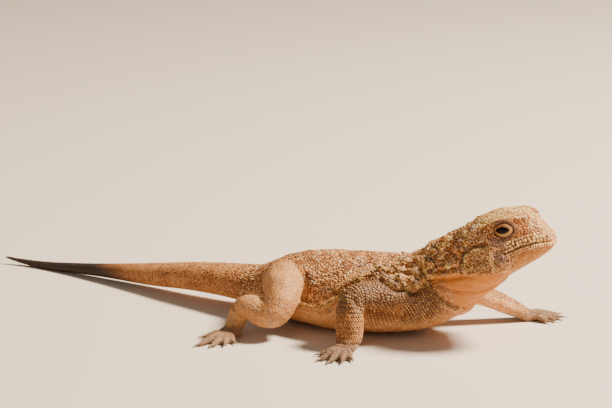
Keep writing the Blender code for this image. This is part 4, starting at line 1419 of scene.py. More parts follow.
def build(name, points, quads, triangles, zone, surface, patches=None, smooth=True):
    """One mesh object from arrays, with its marks and its map."""
    mesh = bpy.data.meshes.new(name)
    mesh.vertices.add(len(points))
    corners = np.concatenate([quads.ravel(), triangles.ravel()]).astype(np.int32)
    sizes = np.concatenate([np.full(len(quads), 4), np.full(len(triangles), 3)])
    mesh.loops.add(len(corners))
    mesh.polygons.add(len(sizes))
    mesh.vertices.foreach_set("co", to_model(points).astype(np.float32).ravel())
    mesh.loops.foreach_set("vertex_index", corners)
    mesh.polygons.foreach_set("loop_start", np.concatenate([[0], np.cumsum(sizes)[:-1]]).astype(np.int32))
    mesh.polygons.foreach_set("use_smooth", np.full(len(sizes), smooth))
    mesh.update(calc_edges=True)
    store_marks(mesh, zone, surface)
    if patches is not None:
        layer = mesh.uv_layers.new(name="OFBake")
        layer.data.foreach_set("uv", patches[corners].astype(np.float32).ravel())
    thing = bpy.data.objects.new(name, mesh)
    bpy.context.scene.collection.objects.link(thing)
    return thing


def map_patches(roots, points, wide):
    """Where the points of the scales on some roots lie on the map."""
    faces = [tree.find_nearest(Vector(root))[2] for root in roots]
    return np.repeat(face_map[faces], len(points), 0) + np.tile(points[:, :2] * wide, (len(roots), 1))


def copies(shape, roots, directions, sizes, zone, tone, wide=PATCH):
    """A template placed on each root, as points, quads, triangles, zones, surface and map.
    directions and sizes: along, across, up. wide: how wide its patch is on the map."""
    points, quads, triangles, edge = shape
    local = points[None] * sizes[:, None, :]
    placed = sum(local[..., i : i + 1] * directions[i][:, None] for i in range(3)) + roots[:, None]
    placed = placed.reshape(-1, 3)
    placed[:, 2] = np.maximum(placed[:, 2], LOWEST)
    start = np.arange(len(roots))[:, None, None] * len(points)
    quads = (quads[None] + start).reshape(-1, 4)
    triangles = (triangles[None] + start).reshape(-1, 3)
    rear = points[:, 0] + 0.5  # how far a point is from the front of its scale
    surface = np.c_[np.repeat(tone, len(points)), np.tile(edge, len(roots)), np.tile(rear, len(roots))]
    zone = np.repeat(zone, len(points), 0)
    return placed, quads, triangles, zone, surface, map_patches(roots, points, wide)


print("a patch of the map at the nostril:", map_patches(nostrils[0][:1], LEAF[:1], PATCH).round(3))

# %% [markdown]
# ## Tones and regions of the scales
# No two scales of the real animal have the same tone, and that is what makes it look
# grainy. A random colour in the shader would need one object for each scale. So each
# scale gets a number from 0, dark, to 1, pale, which is kept on its points. The scales
# of the tail, the hind legs and the flanks are more alike than those of the back. The
# coat is then split into regions, because one mesh of all scales would be too heavy.

# %% Tones of the scales
scale_rows = np.array(places.rows)
roots_x, _, roots_z = scale_rows[:, :3].T
on_leg = limb_share(scale_rows[:, :3]) > 0.5
low_fold = np.interp(roots_x, fold_profile[:, 0], fold_profile[:, 2])
on_flank = (roots_x > -8) & (roots_x < 34) & (roots_z < low_fold + 6) & ~on_leg
on_head_side = (roots_x > 50) & (scale_rows[:, 10] != FLAT)
tones = rng.random(len(scale_rows))
tones[lips] = 0.55 + 0.45 * tones[lips]
tones[on_head_side] = np.clip(1.5 * tones[on_head_side] - 0.28, 0.04, 1)
# which scales, the lowest tone, and how far their tones reach over it
NARROW_TONES = ((roots_x < -14, 0.34, 0.28), (on_leg & (roots_x < 22), 0.4, 0.3), (on_flank, 0.16, 0.5))
for chosen, low, reach in NARROW_TONES:
    tones[chosen] = low + reach * tones[chosen]
scale_rows[on_flank & (scale_rows[:, 10] == KEELED), 10] = FLAT
print("tones from", tones.min().round(2), "to", tones.max().round(2))

# %% Lay the scales
TURNED = {KEELED: 0.06, THORN: 0.35}  # how far scales turn from their lie; others turn by 0.6
LABIAL_MARKS = (0.3, 0.45, 0.1)  # cream, rust and slate of the lip scales
LABIAL_SPREAD = (0.25, 0.25, 0.15)


def scales_of_kind(kind, mine):
    """Points, quads, triangles, zones, surface and map of some scales of one kind."""
    shape, height = TEMPLATES[kind]
    rows = scale_rows[mine]
    roots, up = rows[:, :3], unit(rows[:, 3:6])
    lie = flattened(rows[:, 6:9], up)
    turned = rng.normal(0, TURNED.get(kind, 0.6), len(mine))[:, None]
    ahead = lie * np.cos(turned) + np.cross(up, lie) * np.sin(turned)
    stretch = rng.uniform(0.9, 1.14, (len(mine), 3))
    sizes = rows[:, 9:10] * stretch * (1.12, 1.04, height)
    sizes[:, 2] *= np.where(roots[:, 0] < -12, 0.65, 1)  # the tail is smoother
    zone = zones(roots, up)
    if kind == LABIAL:  # pale scales over dark seams
        zone[:, 1:4] = np.clip(rng.normal(LABIAL_MARKS, LABIAL_SPREAD, (len(mine), 3)), 0, 1)
        zone[:, 5] = 0
    return copies(shape, roots, (ahead, np.cross(up, ahead), up), sizes, zone, tones[mine])


def lay_scales(name, chosen):
    """All scales of some rows as one piece, kind by kind."""
    of_kind = {kind: chosen[scale_rows[chosen, 10] == kind] for kind in TEMPLATES}
    parts = [scales_of_kind(kind, mine) for kind, mine in of_kind.items() if len(mine)]
    points, quads, triangles, *marks = zip(*parts)
    shift = np.cumsum([0] + [len(p) for p in points[:-1]])
    quads = np.concatenate([q + s for q, s in zip(quads, shift)])
    triangles = np.concatenate([t + s for t, s in zip(triangles, shift)])
    print(name, len(chosen), "scales,", 2 * len(quads) + len(triangles), "triangles")
    return build(name, np.concatenate(points), quads, triangles, *(np.concatenate(m) for m in marks))


behind_snout, _, head_high = (to_head(scale_rows[:, :3]) * (-1, 1, 1)).T
on_head = ~on_leg & (roots_x > NECK_END)
regions = {
    "scales_crown": on_head & (behind_snout < 21) & (head_high > 4),
    "scales_face": on_head & (behind_snout < 21) & (head_high <= 4),
    "scales_neck": on_head & (behind_snout >= 21),
    "scales_shoulder": ~on_leg & (roots_x <= NECK_END) & (roots_x > 38),
    "scales_loin": ~on_leg & (roots_x <= 38) & (roots_x > 14),
    "scales_rump": ~on_leg & (roots_x <= 14) & (roots_x > -14),
    "scales_tail_root": ~on_leg & (roots_x <= -14) & (roots_x > -52),
    "scales_tail_tip": ~on_leg & (roots_x <= -52),
    "scales_forelegs": on_leg & (roots_x > 22),
    "scales_hindlegs": on_leg & (roots_x <= 22),
}
coat = {name: lay_scales(name, np.where(region)[0]) for name, region in regions.items()}

# %% [markdown]
# ## Spines
# Pointed scales stand out where the real ones do: on the neck and the back of the head,
# along the crest of the shoulder fold, on the edge of the flank fold, round the flap at
# the corner of the mouth, and as fringes along both sides of every finger and toe, which
# keep this lizard from sinking into loose ground. They could be hair, but a hair has no
# wide root and is lost outside Blender. So each is a bent cone with its root in the skin.

# %% Spines as arrays


def spine_template(sides=5):
    ring = polygon(sides, 1.0)
    low = np.c_[np.full(sides, -0.2), ring]
    middle = np.c_[np.full(sides, 0.45), ring * 0.66 + (0, 0.1)]
    points = np.concatenate([low, middle, [(1.0, 0, 0.4)]])
    a = np.arange(sides)
    b = np.roll(a, -1)
    quads = np.stack([a, b, b + sides, a + sides], 1)
    triangles = np.stack([a + sides, b + sides, np.full(sides, 2 * sides)], 1)
    return points, quads, triangles, np.concatenate([np.full(sides, 0.8), np.full(sides, 0.2), [0.0]])


SPINE = spine_template()
spines = []  # root, direction, up, length, half width, half thickness, tone


def spines_on_line(line, step, length, lean, tone, width):
    """Spines along a line of the skin that point out of it and lean one way."""
    line = dense(line, 0.1)
    at = 0.0
    while at < len(line) * 0.1:
        place, normal, _, _ = tree.find_nearest(Vector(line[min(int(at / 0.1), len(line) - 1)]))
        way = np.array(normal) + np.asarray(lean) + rng.normal(0, 0.14, 3)
        spines.append((*place, *way, *normal, length * rng.uniform(0.75, 1.25), width, width * 0.8,
                       np.clip(tone + rng.normal(0, 0.12), 0, 1)))
        at += step * rng.uniform(0.8, 1.25)


BACKWARDS = np.array([-0.9, 0, 0.15])
for line in flank_top:
    spines_on_line(line, 0.6, 0.8, BACKWARDS, 0.85, 0.2)
for line in [*shoulder_crest, *shoulder_hem]:
    for drop in (0.0, 0.7, -0.7):
        spines_on_line(on_skin(line + (0, 0, drop)), 0.9, 0.8, BACKWARDS, 0.75, 0.27)
for line in flank:
    spines_on_line(line, 0.6, 0.6, BACKWARDS, 0.75, 0.18)
for line in neck_fold:
    spines_on_line(line, 0.6, 0.65, BACKWARDS, 0.85, 0.18)
for line in flap_edge:
    second_row = on_skin(line + HEAD_TURN @ (0.7, 0, 0.3))
    spines_on_line(line, 0.45, 0.75, HEAD_TURN @ (-0.6, 0, -0.5), 0.97, 0.2)
    spines_on_line(second_row, 0.45, 0.55, HEAD_TURN @ (-0.5, 0, -0.5), 0.95, 0.2)
print(len(spines), "spines on the folds")

# %% Spines of the neck
faces_middle = np.array([p.center for p in skin.data.polygons])
in_head = to_head(faces_middle)
neck = np.where((in_head[:, 0] < -22) & (faces_middle[:, 0] > 40) & (in_head[:, 2] > -0.5)
                & (limb_share(faces_middle) < 0.5))[0]
thrown = 0
for face in rng.permutation(neck)[:4000]:
    place = faces_middle[face]
    side_on = 1 - abs(in_head[face, 2] - 4) / 14  # most stand halfway up the side
    if rng.random() > 0.12 * max(side_on, 0.15):
        continue
    normal = np.array(skin.data.polygons[face].normal)
    way = normal * 0.9 + BACKWARDS + rng.normal(0, 0.2, 3)
    spines.append((*place, *way, *normal, rng.uniform(0.6, 1.1), 0.3, 0.26, rng.random()))
    thrown += 1
print(thrown, "spines on the neck")

# %% Fringes of the fingers and toes
FRINGE_STEP = 0.5  # mm from one spine of a fringe to the next
claw_rows = []
for leg in LEGS.values():
    longest = 1.15 if leg["hind"] else 0.8
    for rows, across, forward in foot_lines(leg):
        line = smooth_rows([(*r, r[4]) for r in rows], 0.1)
        reach = reach_along(line[:, :3])
        for at in np.arange(1.6, reach[-1] - 0.2, FRINGE_STEP):
            row = line[int(np.searchsorted(reach, at))]
            length = longest * (1 - 0.35 * at / reach[-1])  # shorter towards the claw
            for side in (1, -1):
                root = row[:3] + across * side * (row[3] - 0.25) - (0, 0, 0.25)
                way = across * side + forward * 0.45 + (0, 0, 0.04)
                spines.append((*root, *way, 0, 0, 1, length * rng.uniform(0.9, 1.1) + 0.2, 0.2, 0.09,
                               0.75 + 0.2 * rng.random()))
        claw_rows.append((np.array(rows[-1][:3]) - forward * 0.6 + (0, 0, 0.05), forward, across))


spines = np.array(spines)
ahead, normals = unit(spines[:, 3:6]), spines[:, 6:9]
across = unit(np.cross(normals, ahead))
coat["spines"] = build("spines", *copies(
    SPINE, spines[:, :3], (ahead, across, np.cross(ahead, across)), spines[:, 9:12],
    zones(spines[:, :3], unit(normals)), spines[:, 12], PATCH / 2))
print(len(spines), "spines")

# %% [markdown]
# ## Eyelids
# The lids of this lizard are thick pads with rings of fine beads: a dark seam at the
# opening, a wide cream ring and a dark brown ring round that. They could be sculpted out
# of the skin, but beads of a fifth of a millimetre are finer than its faces. So each pair
# is a sheet that starts on the eyeball, swells over the ring and dives into the skin,
# with rows of beads on it.

# %% Lids
# distance from the opening, distance from the middle of the eyeball
LID_PROFILE = ((-0.25, 2.95), (-0.05, 3.22), (0.1, 3.42), (0.35, 3.62), (0.65, 3.7), (0.9, 3.62),
               (1.05, 3.46), (1.3, 3.5), (1.6, 3.4), (2.2, 2.8))
# distance from the opening, tone of the sheet
LID_TONES = ((-0.1, 0), (0.1, 0.02), (0.18, 0.7), (0.76, 0.6), (0.86, 0.02), (1.1, 0.04), (1.3, 0.2),
             (1.9, 0.3))
LID_OVER_SKIN = 0.16  # how far the outer rings stand over the skin round them
ROUND_LID = 96  # points round an opening


def lid_point(side, angle, away):
    """Points of a lid: their angle round the opening and their distance from the edge."""
    centre, forward, up, out = eye_frame(side)
    along, height = almond(angle)
    way = np.stack([np.cos(angle), np.sin(angle) * 1.1], -1)
    way /= np.linalg.norm(way, axis=-1)[..., None]
    along = along + way[..., 0] * away * 0.85 - 0.35 * (1 - ramp(away, 0, 0.9))
    height = height + way[..., 1] * away * np.where(way[..., 1] > 0, 1.1, 1.35)
    reach = np.interp(away, *zip(*LID_PROFILE))
    flat = along[..., None] * forward + height[..., None] * up
    depth = np.sqrt(np.maximum(reach**2 - (flat**2).sum(-1), 0.2))
    points = centre + flat + depth[..., None] * out
    for i in np.where((away > 0.95) & (away < 1.75))[0]:
        way = points[i] - centre
        way /= np.linalg.norm(way)
        start = centre + way * 9
        place = tree.ray_cast(Vector(start), Vector(-way))[0]
        if place is not None:
            over = np.linalg.norm(np.array(place) - centre) + LID_OVER_SKIN * ramp(1.75 - away[i], 0, 0.3)
            points[i] = centre + way * max(over, np.linalg.norm(points[i] - centre))
    return points


def lid_marks(tone, cream):
    """Zones of the lids: cream where they are pale, rust and black where they are dark."""
    zone = np.zeros((len(tone), 9))
    zone[:, 1] = ramp(tone, 0.3, 0.7) * cream
    zone[:, 2] = (1 - ramp(tone, 0.1, 0.5)) * 0.9
    zone[:, 5] = (1 - ramp(tone, 0.05, 0.3)) * 0.72
    return zone


def make_lids(side, name):
    angles = np.arange(ROUND_LID) * 2 * np.pi / ROUND_LID
    steps = np.linspace(LID_PROFILE[0][0], LID_PROFILE[-1][0], 26)
    points = np.concatenate([lid_point(side, angles, np.full(ROUND_LID, step)) for step in steps])
    a = np.arange(ROUND_LID)
    b = np.roll(a, -1)
    band = np.stack([a, b, b + ROUND_LID, a + ROUND_LID], 1)
    quads = np.concatenate([band + ROUND_LID * i for i in range(len(steps) - 1)])
    if side < 0:
        quads = quads[:, ::-1]
    tone = np.interp(np.repeat(steps, ROUND_LID), *zip(*LID_TONES))
    surface = np.stack([tone, np.full(len(points), 0.75), np.zeros(len(points))], 1)
    patches = map_patches(points, np.zeros((1, 2)), PATCH)
    return build(name, points, quads, np.zeros((0, 3), int), lid_marks(tone, 0.8), surface, patches)


lids = {name: make_lids(side, name) for side, name in ((1, "lids_left"), (-1, "lids_right"))}
print("lids of", len(lids["lids_left"].data.vertices), "points")

# %% Beads of the lids
# distance from the opening, bead size, tone
LID_RINGS = ((0.08, 0.18, 0.04), (0.24, 0.22, 0.5), (0.43, 0.24, 0.62), (0.62, 0.24, 0.55),
             (0.8, 0.24, 0.42), (1.02, 0.26, 0.04), (1.2, 0.28, 0.12), (1.4, 0.32, 0.22))


def bead_ring(side, from_edge, size, tone):
    """Beads at even steps round an opening, as place, up, lie, size and tone. The upper lid is
    in the shade of the brow, so its beads are darker."""
    around = lid_point(side, np.linspace(0, 2 * np.pi, 400), np.full(400, from_edge))
    reach = reach_along(around)
    count = int(reach[-1] / (size * 0.92))
    at = np.arange(count) * reach[-1] / count
    spots = np.stack([np.interp(at, reach, around[:, i]) for i in range(3)], 1)
    centre, _, up, out = eye_frame(side)
    away = spots - centre
    dark = 1 - 0.3 * ramp(away @ up, 0.2, 1.3)
    return np.c_[spots, away, np.cross(away, out), np.full(count, size), tone * dark]


beads = np.concatenate([bead_ring(side, *ring) for side in (1, -1) for ring in LID_RINGS])
bead_shape, _ = TEMPLATES[GRAIN]
up = unit(beads[:, 3:6])
ahead = flattened(beads[:, 6:9], up)
sizes = beads[:, 9:10] * (1.05, 1.05, 0.34) * rng.uniform(0.92, 1.08, (len(beads), 3))
zone = lid_marks(beads[:, 10], rng.uniform(0.2, 0.75, len(beads)))
tone = np.clip(beads[:, 10] + rng.normal(0, 0.14, len(beads)), 0, 1)
lids["lid_beads"] = build("lid_beads", *copies(
    bead_shape, beads[:, :3], (ahead, np.cross(up, ahead), up), sizes, zone, tone, PATCH / 2))
print(len(beads), "beads")

# %% [markdown]
# ## Claws
# Each digit ends in a long, slender, slightly curved claw. A cone would be straight, so a
# tube is drawn along a bent line and gets thinner towards its end. Claws are horn and not
# skin, so they are a piece of their own with a finish of their own.

# %% Claws
CLAW_LENGTH, CLAW_RADIUS = 2.9, 0.36
# share of the length, rise in mm, share of the radius
CLAW_STOPS = ((0, 0.0, 1.0), (0.35, 0.1, 0.85), (0.7, -0.02, 0.5), (1.0, -0.32, 0.12))
claw_shapes = []
for tip, forward, across in claw_rows:
    rows = [(*(tip + forward * CLAW_LENGTH * along + (0, 0, rise)), CLAW_RADIUS * thick,
             CLAW_RADIUS * thick * 1.1) for along, rise, thick in CLAW_STOPS]
    claw_shapes.append(tube(rows, side=across, step=0.25, count=12))
claws = make_object("claws", *joined(claw_shapes))
claw_points = read_points(claws.data)
claw_points[:, 2] = np.maximum(claw_points[:, 2], 0.02)
write_points(claws.data, to_model(claw_points))
claws.data.shade_smooth()
print(len(claw_shapes), "claws")

# %% [markdown]
# ## Finishes
# The real hide is a mosaic of tawny, rust, slate and cream scales. It could be painted,
# or each region could have a material of its own, but then the regions would end in hard
# edges. One node group turns the stored zones into colours instead, so that skin, scales,
# spines and lids always agree. It mixes from the ground colour outwards: tawny grains of
# several tones, then legs, chest, belly, throat, rust, slate, mauve, cream and the near
# black of the end of the tail, which also serves for painted shade in hollows, on the chin
# and on the shoulders. The rim of a scale is darker than its top, which draws the seams.

# %% Node tools


def new_group(name, inputs, outputs):
    group = bpy.data.node_groups.new(name, "ShaderNodeTree")
    for socket, kind, value in inputs:
        made = group.interface.new_socket(socket, in_out="INPUT", socket_type=kind)
        made.default_value = value
    for socket, kind in outputs:
        group.interface.new_socket(socket, in_out="OUTPUT", socket_type=kind)
    return group


class Nodes:
    """Adds nodes to a tree, with values or links for their inputs."""

    def __init__(self, tree):
        self.tree = tree

    def add(self, kind, *inputs, **settings):
        node = self.tree.nodes.new("ShaderNode" + kind)
        for key, value in settings.items():
            setattr(node, key, value)
        for socket, value in inputs:
            self.put(node.inputs[socket], value)
        return node

    def put(self, socket, value):
        if isinstance(value, bpy.types.NodeSocket):
            self.tree.links.new(value, socket)
        elif isinstance(value, tuple) and len(value) == 3 and socket.type == "RGBA":
            socket.default_value = (*value, 1)
        else:
            socket.default_value = value

    def math(self, operation, a, b=0.0, clamp=False):
        return self.add("Math", (0, a), (1, b), operation=operation, use_clamp=clamp).outputs[0]

    def mix(self, share, a, b, blend="MIX"):
        node = self.add("Mix", data_type="RGBA", blend_type=blend)
        for socket, value in ((0, share), (6, a), (7, b)):
            self.put(node.inputs[socket], value)
        return node.outputs[2]

    def noise(self, place, scale, detail=2.0, rough=0.5):
        return self.add("TexNoise", ("Vector", place), ("Scale", scale), ("Detail", detail),
                        ("Roughness", rough)).outputs["Fac"]

    def ramp(self, value, *stops):
        node = self.add("ValToRGB", (0, value))
        elements = node.color_ramp.elements
        while len(elements) < len(stops):
            elements.new(0.5)
        for element, (place, colour) in zip(elements, stops):
            element.position = place
            element.color = (*colour, 1)
        return node.outputs[0]


# %% Colours of the animal
# for each zone: tones from dark to pale, and the colour of a scale with that tone
HIDE_COLOURS = {
    "tawny": ((0.1, (0.07, 0.032, 0.016)), (0.26, (0.26, 0.08, 0.018)), (0.42, (0.5, 0.19, 0.05)),
              (0.58, (0.67, 0.31, 0.1)), (0.74, (0.8, 0.47, 0.2)), (0.92, (0.88, 0.68, 0.4))),
    "limb": ((0.1, (0.28, 0.1, 0.03)), (0.35, (0.48, 0.21, 0.065)), (0.65, (0.62, 0.3, 0.1)),
             (0.9, (0.75, 0.43, 0.17))),
    "chest": ((0.1, (0.32, 0.11, 0.024)), (0.5, (0.58, 0.23, 0.055)), (0.9, (0.86, 0.5, 0.17))),
    "under": ((0.1, (0.62, 0.25, 0.075)), (0.6, (0.78, 0.4, 0.15)), (0.95, (0.88, 0.55, 0.28))),
    "throat": ((0.1, (0.53, 0.17, 0.02)), (0.9, (0.65, 0.245, 0.034))),
    "rust": ((0.2, (0.27, 0.065, 0.01)), (0.8, (0.76, 0.28, 0.05))),
    "slate": ((0.2, (0.08, 0.068, 0.066)), (0.9, (0.54, 0.46, 0.39))),
    "mauve": ((0.2, (0.2, 0.1, 0.08)), (0.8, (0.52, 0.3, 0.24))),
    "cream": ((0.15, (0.44, 0.21, 0.055)), (0.45, (0.82, 0.48, 0.14)), (0.9, (0.95, 0.68, 0.22))),
    # black: the end of the tail and the dark rings and seams, also used for painted shade
    "black": ((0.2, (0.01, 0.006, 0.004)), (0.9, (0.045, 0.026, 0.016))),
}
TIP_COLOURS = ((0.45, (0.03, 0.016, 0.01)), (0.6, (0.06, 0.055, 0.062)))  # dark rear tips on the chest
SEAM_COLOUR = (0.05, 0.02, 0.01)
FINE_COLOURS = ((0.3, (0.35, 0.3, 0.28)), (0.7, (1, 1, 1)))  # the fine grain darkens in dots
# the attributes on the meshes, and what their red, green, blue and alpha hold
STORED = {"zones_1": ("throat", "cream", "rust", "slate"), "zones_2": ("under", "black", "chest", "mauve"),
          "surface": ("tone", "edge", "rear", "limb")}


def read_marks(n):
    """The stored numbers of a point by name."""
    marks = {}
    for name, parts in STORED.items():
        node = n.add("Attribute", attribute_name=name, attribute_type="GEOMETRY")
        split = n.add("SeparateColor", ("Color", node.outputs["Color"]))
        marks.update(zip(parts, [*split.outputs, node.outputs["Alpha"]]))
    return marks


def mottled_tone(n, marks, patch, fleck):
    """The tone of a scale, made lighter or darker in patches and flecks."""
    tone = n.math("MULTIPLY", marks["tone"], 0.56)
    tone = n.math("ADD", tone, n.math("MULTIPLY", patch, 0.42))
    tone = n.math("ADD", tone, n.math("MULTIPLY", fleck, 0.3))
    return n.math("SUBTRACT", tone, 0.16, clamp=True)


def barred_chest(n, marks, chest, patch):
    """The scales of the chest with dark rear tips, which line up as bars. Limbs have fewer."""
    rear = n.math("GREATER_THAN", marks["rear"], 0.52)
    dark_tip = n.math("MULTIPLY", rear, n.math("GREATER_THAN", patch, 0.28))
    some = n.math("GREATER_THAN", marks["tone"], n.math("MULTIPLY", marks["limb"], 0.45))
    dark_tip = n.math("MULTIPLY", dark_tip, some)
    strong = n.math("SUBTRACT", 0.95, n.math("MULTIPLY", marks["limb"], 0.42))
    return n.mix(n.math("MULTIPLY", dark_tip, strong), chest, n.ramp(patch, *TIP_COLOURS))


def dark_seams(n, marks, seam):
    """How dark the rim of a scale is: less on the throat, the underside and the hind legs."""
    hind = n.math("MULTIPLY", marks["limb"], n.math("SUBTRACT", 1.0, marks["chest"]))
    plain = n.math("MAXIMUM", n.math("MAXIMUM", marks["throat"], marks["under"]), hind)
    return n.math("MULTIPLY", n.math("MULTIPLY", marks["edge"], seam),
                  n.math("SUBTRACT", 1.0, n.math("MULTIPLY", plain, 0.72)))


def build_markings():
    group = new_group("markings", [("Seam", "NodeSocketFloat", 0.5)],
                      [("Color", "NodeSocketColor"), ("Grain", "NodeSocketFloat"),
                       ("Roughness", "NodeSocketFloat")])
    n = Nodes(group)
    place = n.add("TexCoord").outputs["Object"]
    seam = group.nodes.new("NodeGroupInput").outputs["Seam"]
    out = group.nodes.new("NodeGroupOutput")
    marks = read_marks(n)
    patch = n.noise(place, 210.0, 2.0)  # about 5 mm wide
    fleck = n.noise(place, 850.0, 1.0)  # about a millimetre
    fine = n.noise(place, 3600.0, 2.0)  # finer than a scale
    tone = mottled_tone(n, marks, patch, fleck)
    colours = {zone: n.ramp(tone, *stops) for zone, stops in HIDE_COLOURS.items()}
    colours["chest"] = barred_chest(n, marks, colours["chest"], patch)
    shares = {**marks, "limb": n.math("MULTIPLY", marks["limb"], 0.75)}
    colour = colours.pop("tawny")
    for zone, zone_colour in colours.items():
        colour = n.mix(shares[zone], colour, zone_colour)
    colour = n.mix(dark_seams(n, marks, seam), colour, n.mix(0.93, colour, SEAM_COLOUR))
    colour = n.mix(0.25, colour, n.ramp(fine, *FINE_COLOURS), "MULTIPLY")
    n.put(out.inputs["Color"], colour)
    n.put(out.inputs["Grain"], fine)
    n.put(out.inputs["Roughness"], n.math("ADD", n.math("MULTIPLY", fine, 0.25), 0.42))
    return group


markings = build_markings()
print("markings group with", len(markings.nodes), "nodes")

# %% Materials of the skin and the scales


def hide_material(name, seam, bump, depth):
    material = bpy.data.materials.new(name)
    material.use_nodes = True
    n = Nodes(material.node_tree)
    shader = material.node_tree.nodes["Principled BSDF"]
    group = n.add("Group")
    group.node_tree = markings
    group.inputs["Seam"].default_value = seam
    bumped = n.add("Bump", ("Strength", bump), ("Distance", depth), ("Height", group.outputs["Grain"]))
    n.put(shader.inputs["Base Color"], group.outputs["Color"])
    n.put(shader.inputs["Roughness"], group.outputs["Roughness"])
    n.put(shader.inputs["Normal"], bumped.outputs["Normal"])
    shader.inputs["Specular IOR Level"].default_value = 0.35
    return material


scale_finish = hide_material("scale_horn", 0.85, 0.35, 0.00005)
skin_finish = hide_material("skin_between_scales", 0.95, 0.5, 0.00008)

skin_points = read_points(skin.data)
SKIN_SURFACE = (0.35, 0.8, 0.0)  # tone, edge and rear of the skin between the scales
store_marks(skin.data, zones(skin_points, read_normals(skin.data)),
            np.tile(SKIN_SURFACE, (len(skin_points), 1)))
write_points(skin.data, to_model(skin_points))
skin.data.shade_smooth()
skin.data.materials.append(skin_finish)
for thing in [*coat.values(), *lids.values()]:
    thing.data.materials.append(scale_finish)
print("the markings are on the skin and", len(coat) + len(lids), "pieces on it")

# %% [markdown]
# The claws are dull brown horn, and a plain finish with a little noise in its colour does
# for them. The eye is wet and nearly black, with a faint brown rim round the pupil. A
# picture could be wrapped round the ball, but it would blur close up. So the colour is
# set by the angle between a place on the ball and the way that the eye looks.

# %% Claws and eyes


def plain_material(name, colour, roughness):
    material = bpy.data.materials.new(name)
    material.use_nodes = True
    shader = material.node_tree.nodes["Principled BSDF"]
    shader.inputs["Roughness"].default_value = roughness
    n = Nodes(material.node_tree)
    grain = n.noise(n.add("TexCoord").outputs["Object"], 1200.0, 3.0)
    dark = tuple(c * 0.45 for c in colour)
    n.put(shader.inputs["Base Color"], n.ramp(grain, (0.3, dark), (0.7, colour)))
    return material


claws.data.materials.append(plain_material("claw_horn", (0.26, 0.15, 0.085), 0.32))


# how nearly a place faces the way that the eye looks, and the colour there
EYE_COLOURS = ((0.0, (0.004, 0.003, 0.002)), (0.8, (0.006, 0.004, 0.002)), (0.87, (0.01, 0.006, 0.003)),
               (0.925, (0.03, 0.014, 0.006)), (0.935, (0.002, 0.002, 0.002)))


def eye_material(name, side):
    """A nearly black eye with a faint brown rim round the pupil, set by the angle from the way
    that the eye looks."""
    material = bpy.data.materials.new(name)
    material.use_nodes = True
    n = Nodes(material.node_tree)
    shader = material.node_tree.nodes["Principled BSDF"]
    centre, _, _, out = eye_frame(side)
    place = n.add("TexCoord").outputs["Object"]
    away = n.add("VectorMath", (0, place), (1, tuple(to_model(centre))), operation="SUBTRACT").outputs[0]
    away = n.add("VectorMath", (0, away), operation="NORMALIZE").outputs[0]
    facing = n.add("VectorMath", (0, away), (1, tuple(out)), operation="DOT_PRODUCT").outputs["Value"]
    streaks = n.noise(place, 2600.0, 3.0, 0.6)
    facing = n.math("ADD", facing, n.math("MULTIPLY", n.math("SUBTRACT", streaks, 0.5), 0.02))
    n.put(shader.inputs["Base Color"], n.ramp(facing, *EYE_COLOURS))
    shader.inputs["Roughness"].default_value = 0.06
    shader.inputs["IOR"].default_value = 1.34
    shader.inputs["Specular IOR Level"].default_value = 0.16
    shader.inputs["Coat Weight"].default_value = 0.05
    shader.inputs["Coat Roughness"].default_value = 0.03
    return material


CORNEA = 0.25  # how far the clear front of the eye bulges


def make_eyeball(side, name):
    centre, _, _, out = eye_frame(side)
    points, faces = ball((0, 0, 0), (EYE_RADIUS,) * 3, count=72)
    way = points / EYE_RADIUS
    bulge = CORNEA * ramp(way @ out, 0.85, 1.0)
    thing = make_object(name, to_model(centre + points + way * bulge[:, None]), faces)
    thing.data.shade_smooth()
    thing.data.materials.append(eye_material(name + "_gloss", side))
    return thing


eyeballs = {side: make_eyeball(side, name) for side, name in ((1, "eyeball_left"), (-1, "eyeball_right"))}
print("finishes on", 4 + len(coat) + len(lids), "things")
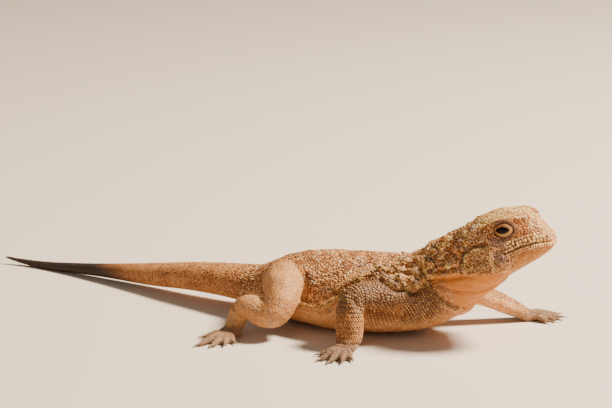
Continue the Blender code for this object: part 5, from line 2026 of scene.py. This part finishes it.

# %% [markdown]
# ## What each piece stands for
# The lizard keeps still, so all pieces ride on the one body of the model. The skin
# replaces all nodes of flesh, and each eyeball here is a rounder one with a clear bulge in
# place of the plain one. Scales, spines, lids and claws add to the model and replace
# nothing.

# %% Tie the pieces to the model
flesh_nodes = [name for name in frame["nodes"] if not name.startswith("eye")]
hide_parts(*flesh_nodes)
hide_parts("eye_left")
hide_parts("eye_right")
for thing in [skin, claws, *coat.values(), *lids.values(), *eyeballs.values()]:
    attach(thing, "root")
print(len(flesh_nodes), "nodes replaced")

# %% [markdown]
# ## Studio
# A picture needs a floor and light. The shadows of the photograph are warm and rather
# hard, from a light high behind the lizard on the right. A picture of a sky could light
# the scene, but a lamp is easier to aim. So there are two lamps, a strong one there and a
# weak one from the camera's side, a pale sky all round and a pale floor. None of them is
# a part of the animal.

# %% Floor and lights
FLOOR_COLOUR = (0.64, 0.54, 0.45)


def make_floor():
    half = 4.0
    floor = make_object("floor", [(-half, -half, 0), (half, -half, 0), (half, half, 0), (-half, half, 0)],
                        [[0, 1, 2, 3]])
    floor.data.materials.append(plain_floor())


def plain_floor():
    material = bpy.data.materials.new("pale_floor")
    material.use_nodes = True
    shader = material.node_tree.nodes["Principled BSDF"]
    shader.inputs["Base Color"].default_value = (*FLOOR_COLOUR, 1)
    shader.inputs["Roughness"].default_value = 0.8
    return material


def soft_light(name, place, power, size, colour):
    light = bpy.data.lights.new(name, "AREA")
    light.energy, light.size, light.color = power, size, colour
    lamp = bpy.data.objects.new(name, light)
    place = Vector(place)
    lamp.matrix_world = Matrix.Translation(place) @ (-place).to_track_quat("-Z", "Y").to_matrix().to_4x4()
    bpy.context.scene.collection.objects.link(lamp)


make_floor()
soft_light("high_light", (0.72, 0.32, 0.9), 62, 0.22, (1.0, 0.89, 0.72))
soft_light("near_light", (-0.1, -1.1, 0.5), 2, 0.9, (1.0, 0.86, 0.7))
world = bpy.data.worlds.new("pale_sky")
bpy.context.scene.world = world
world.use_nodes = True
world.node_tree.nodes["Background"].inputs["Color"].default_value = (1.0, 0.94, 0.86, 1)
world.node_tree.nodes["Background"].inputs["Strength"].default_value = 0.26
print("studio ready")
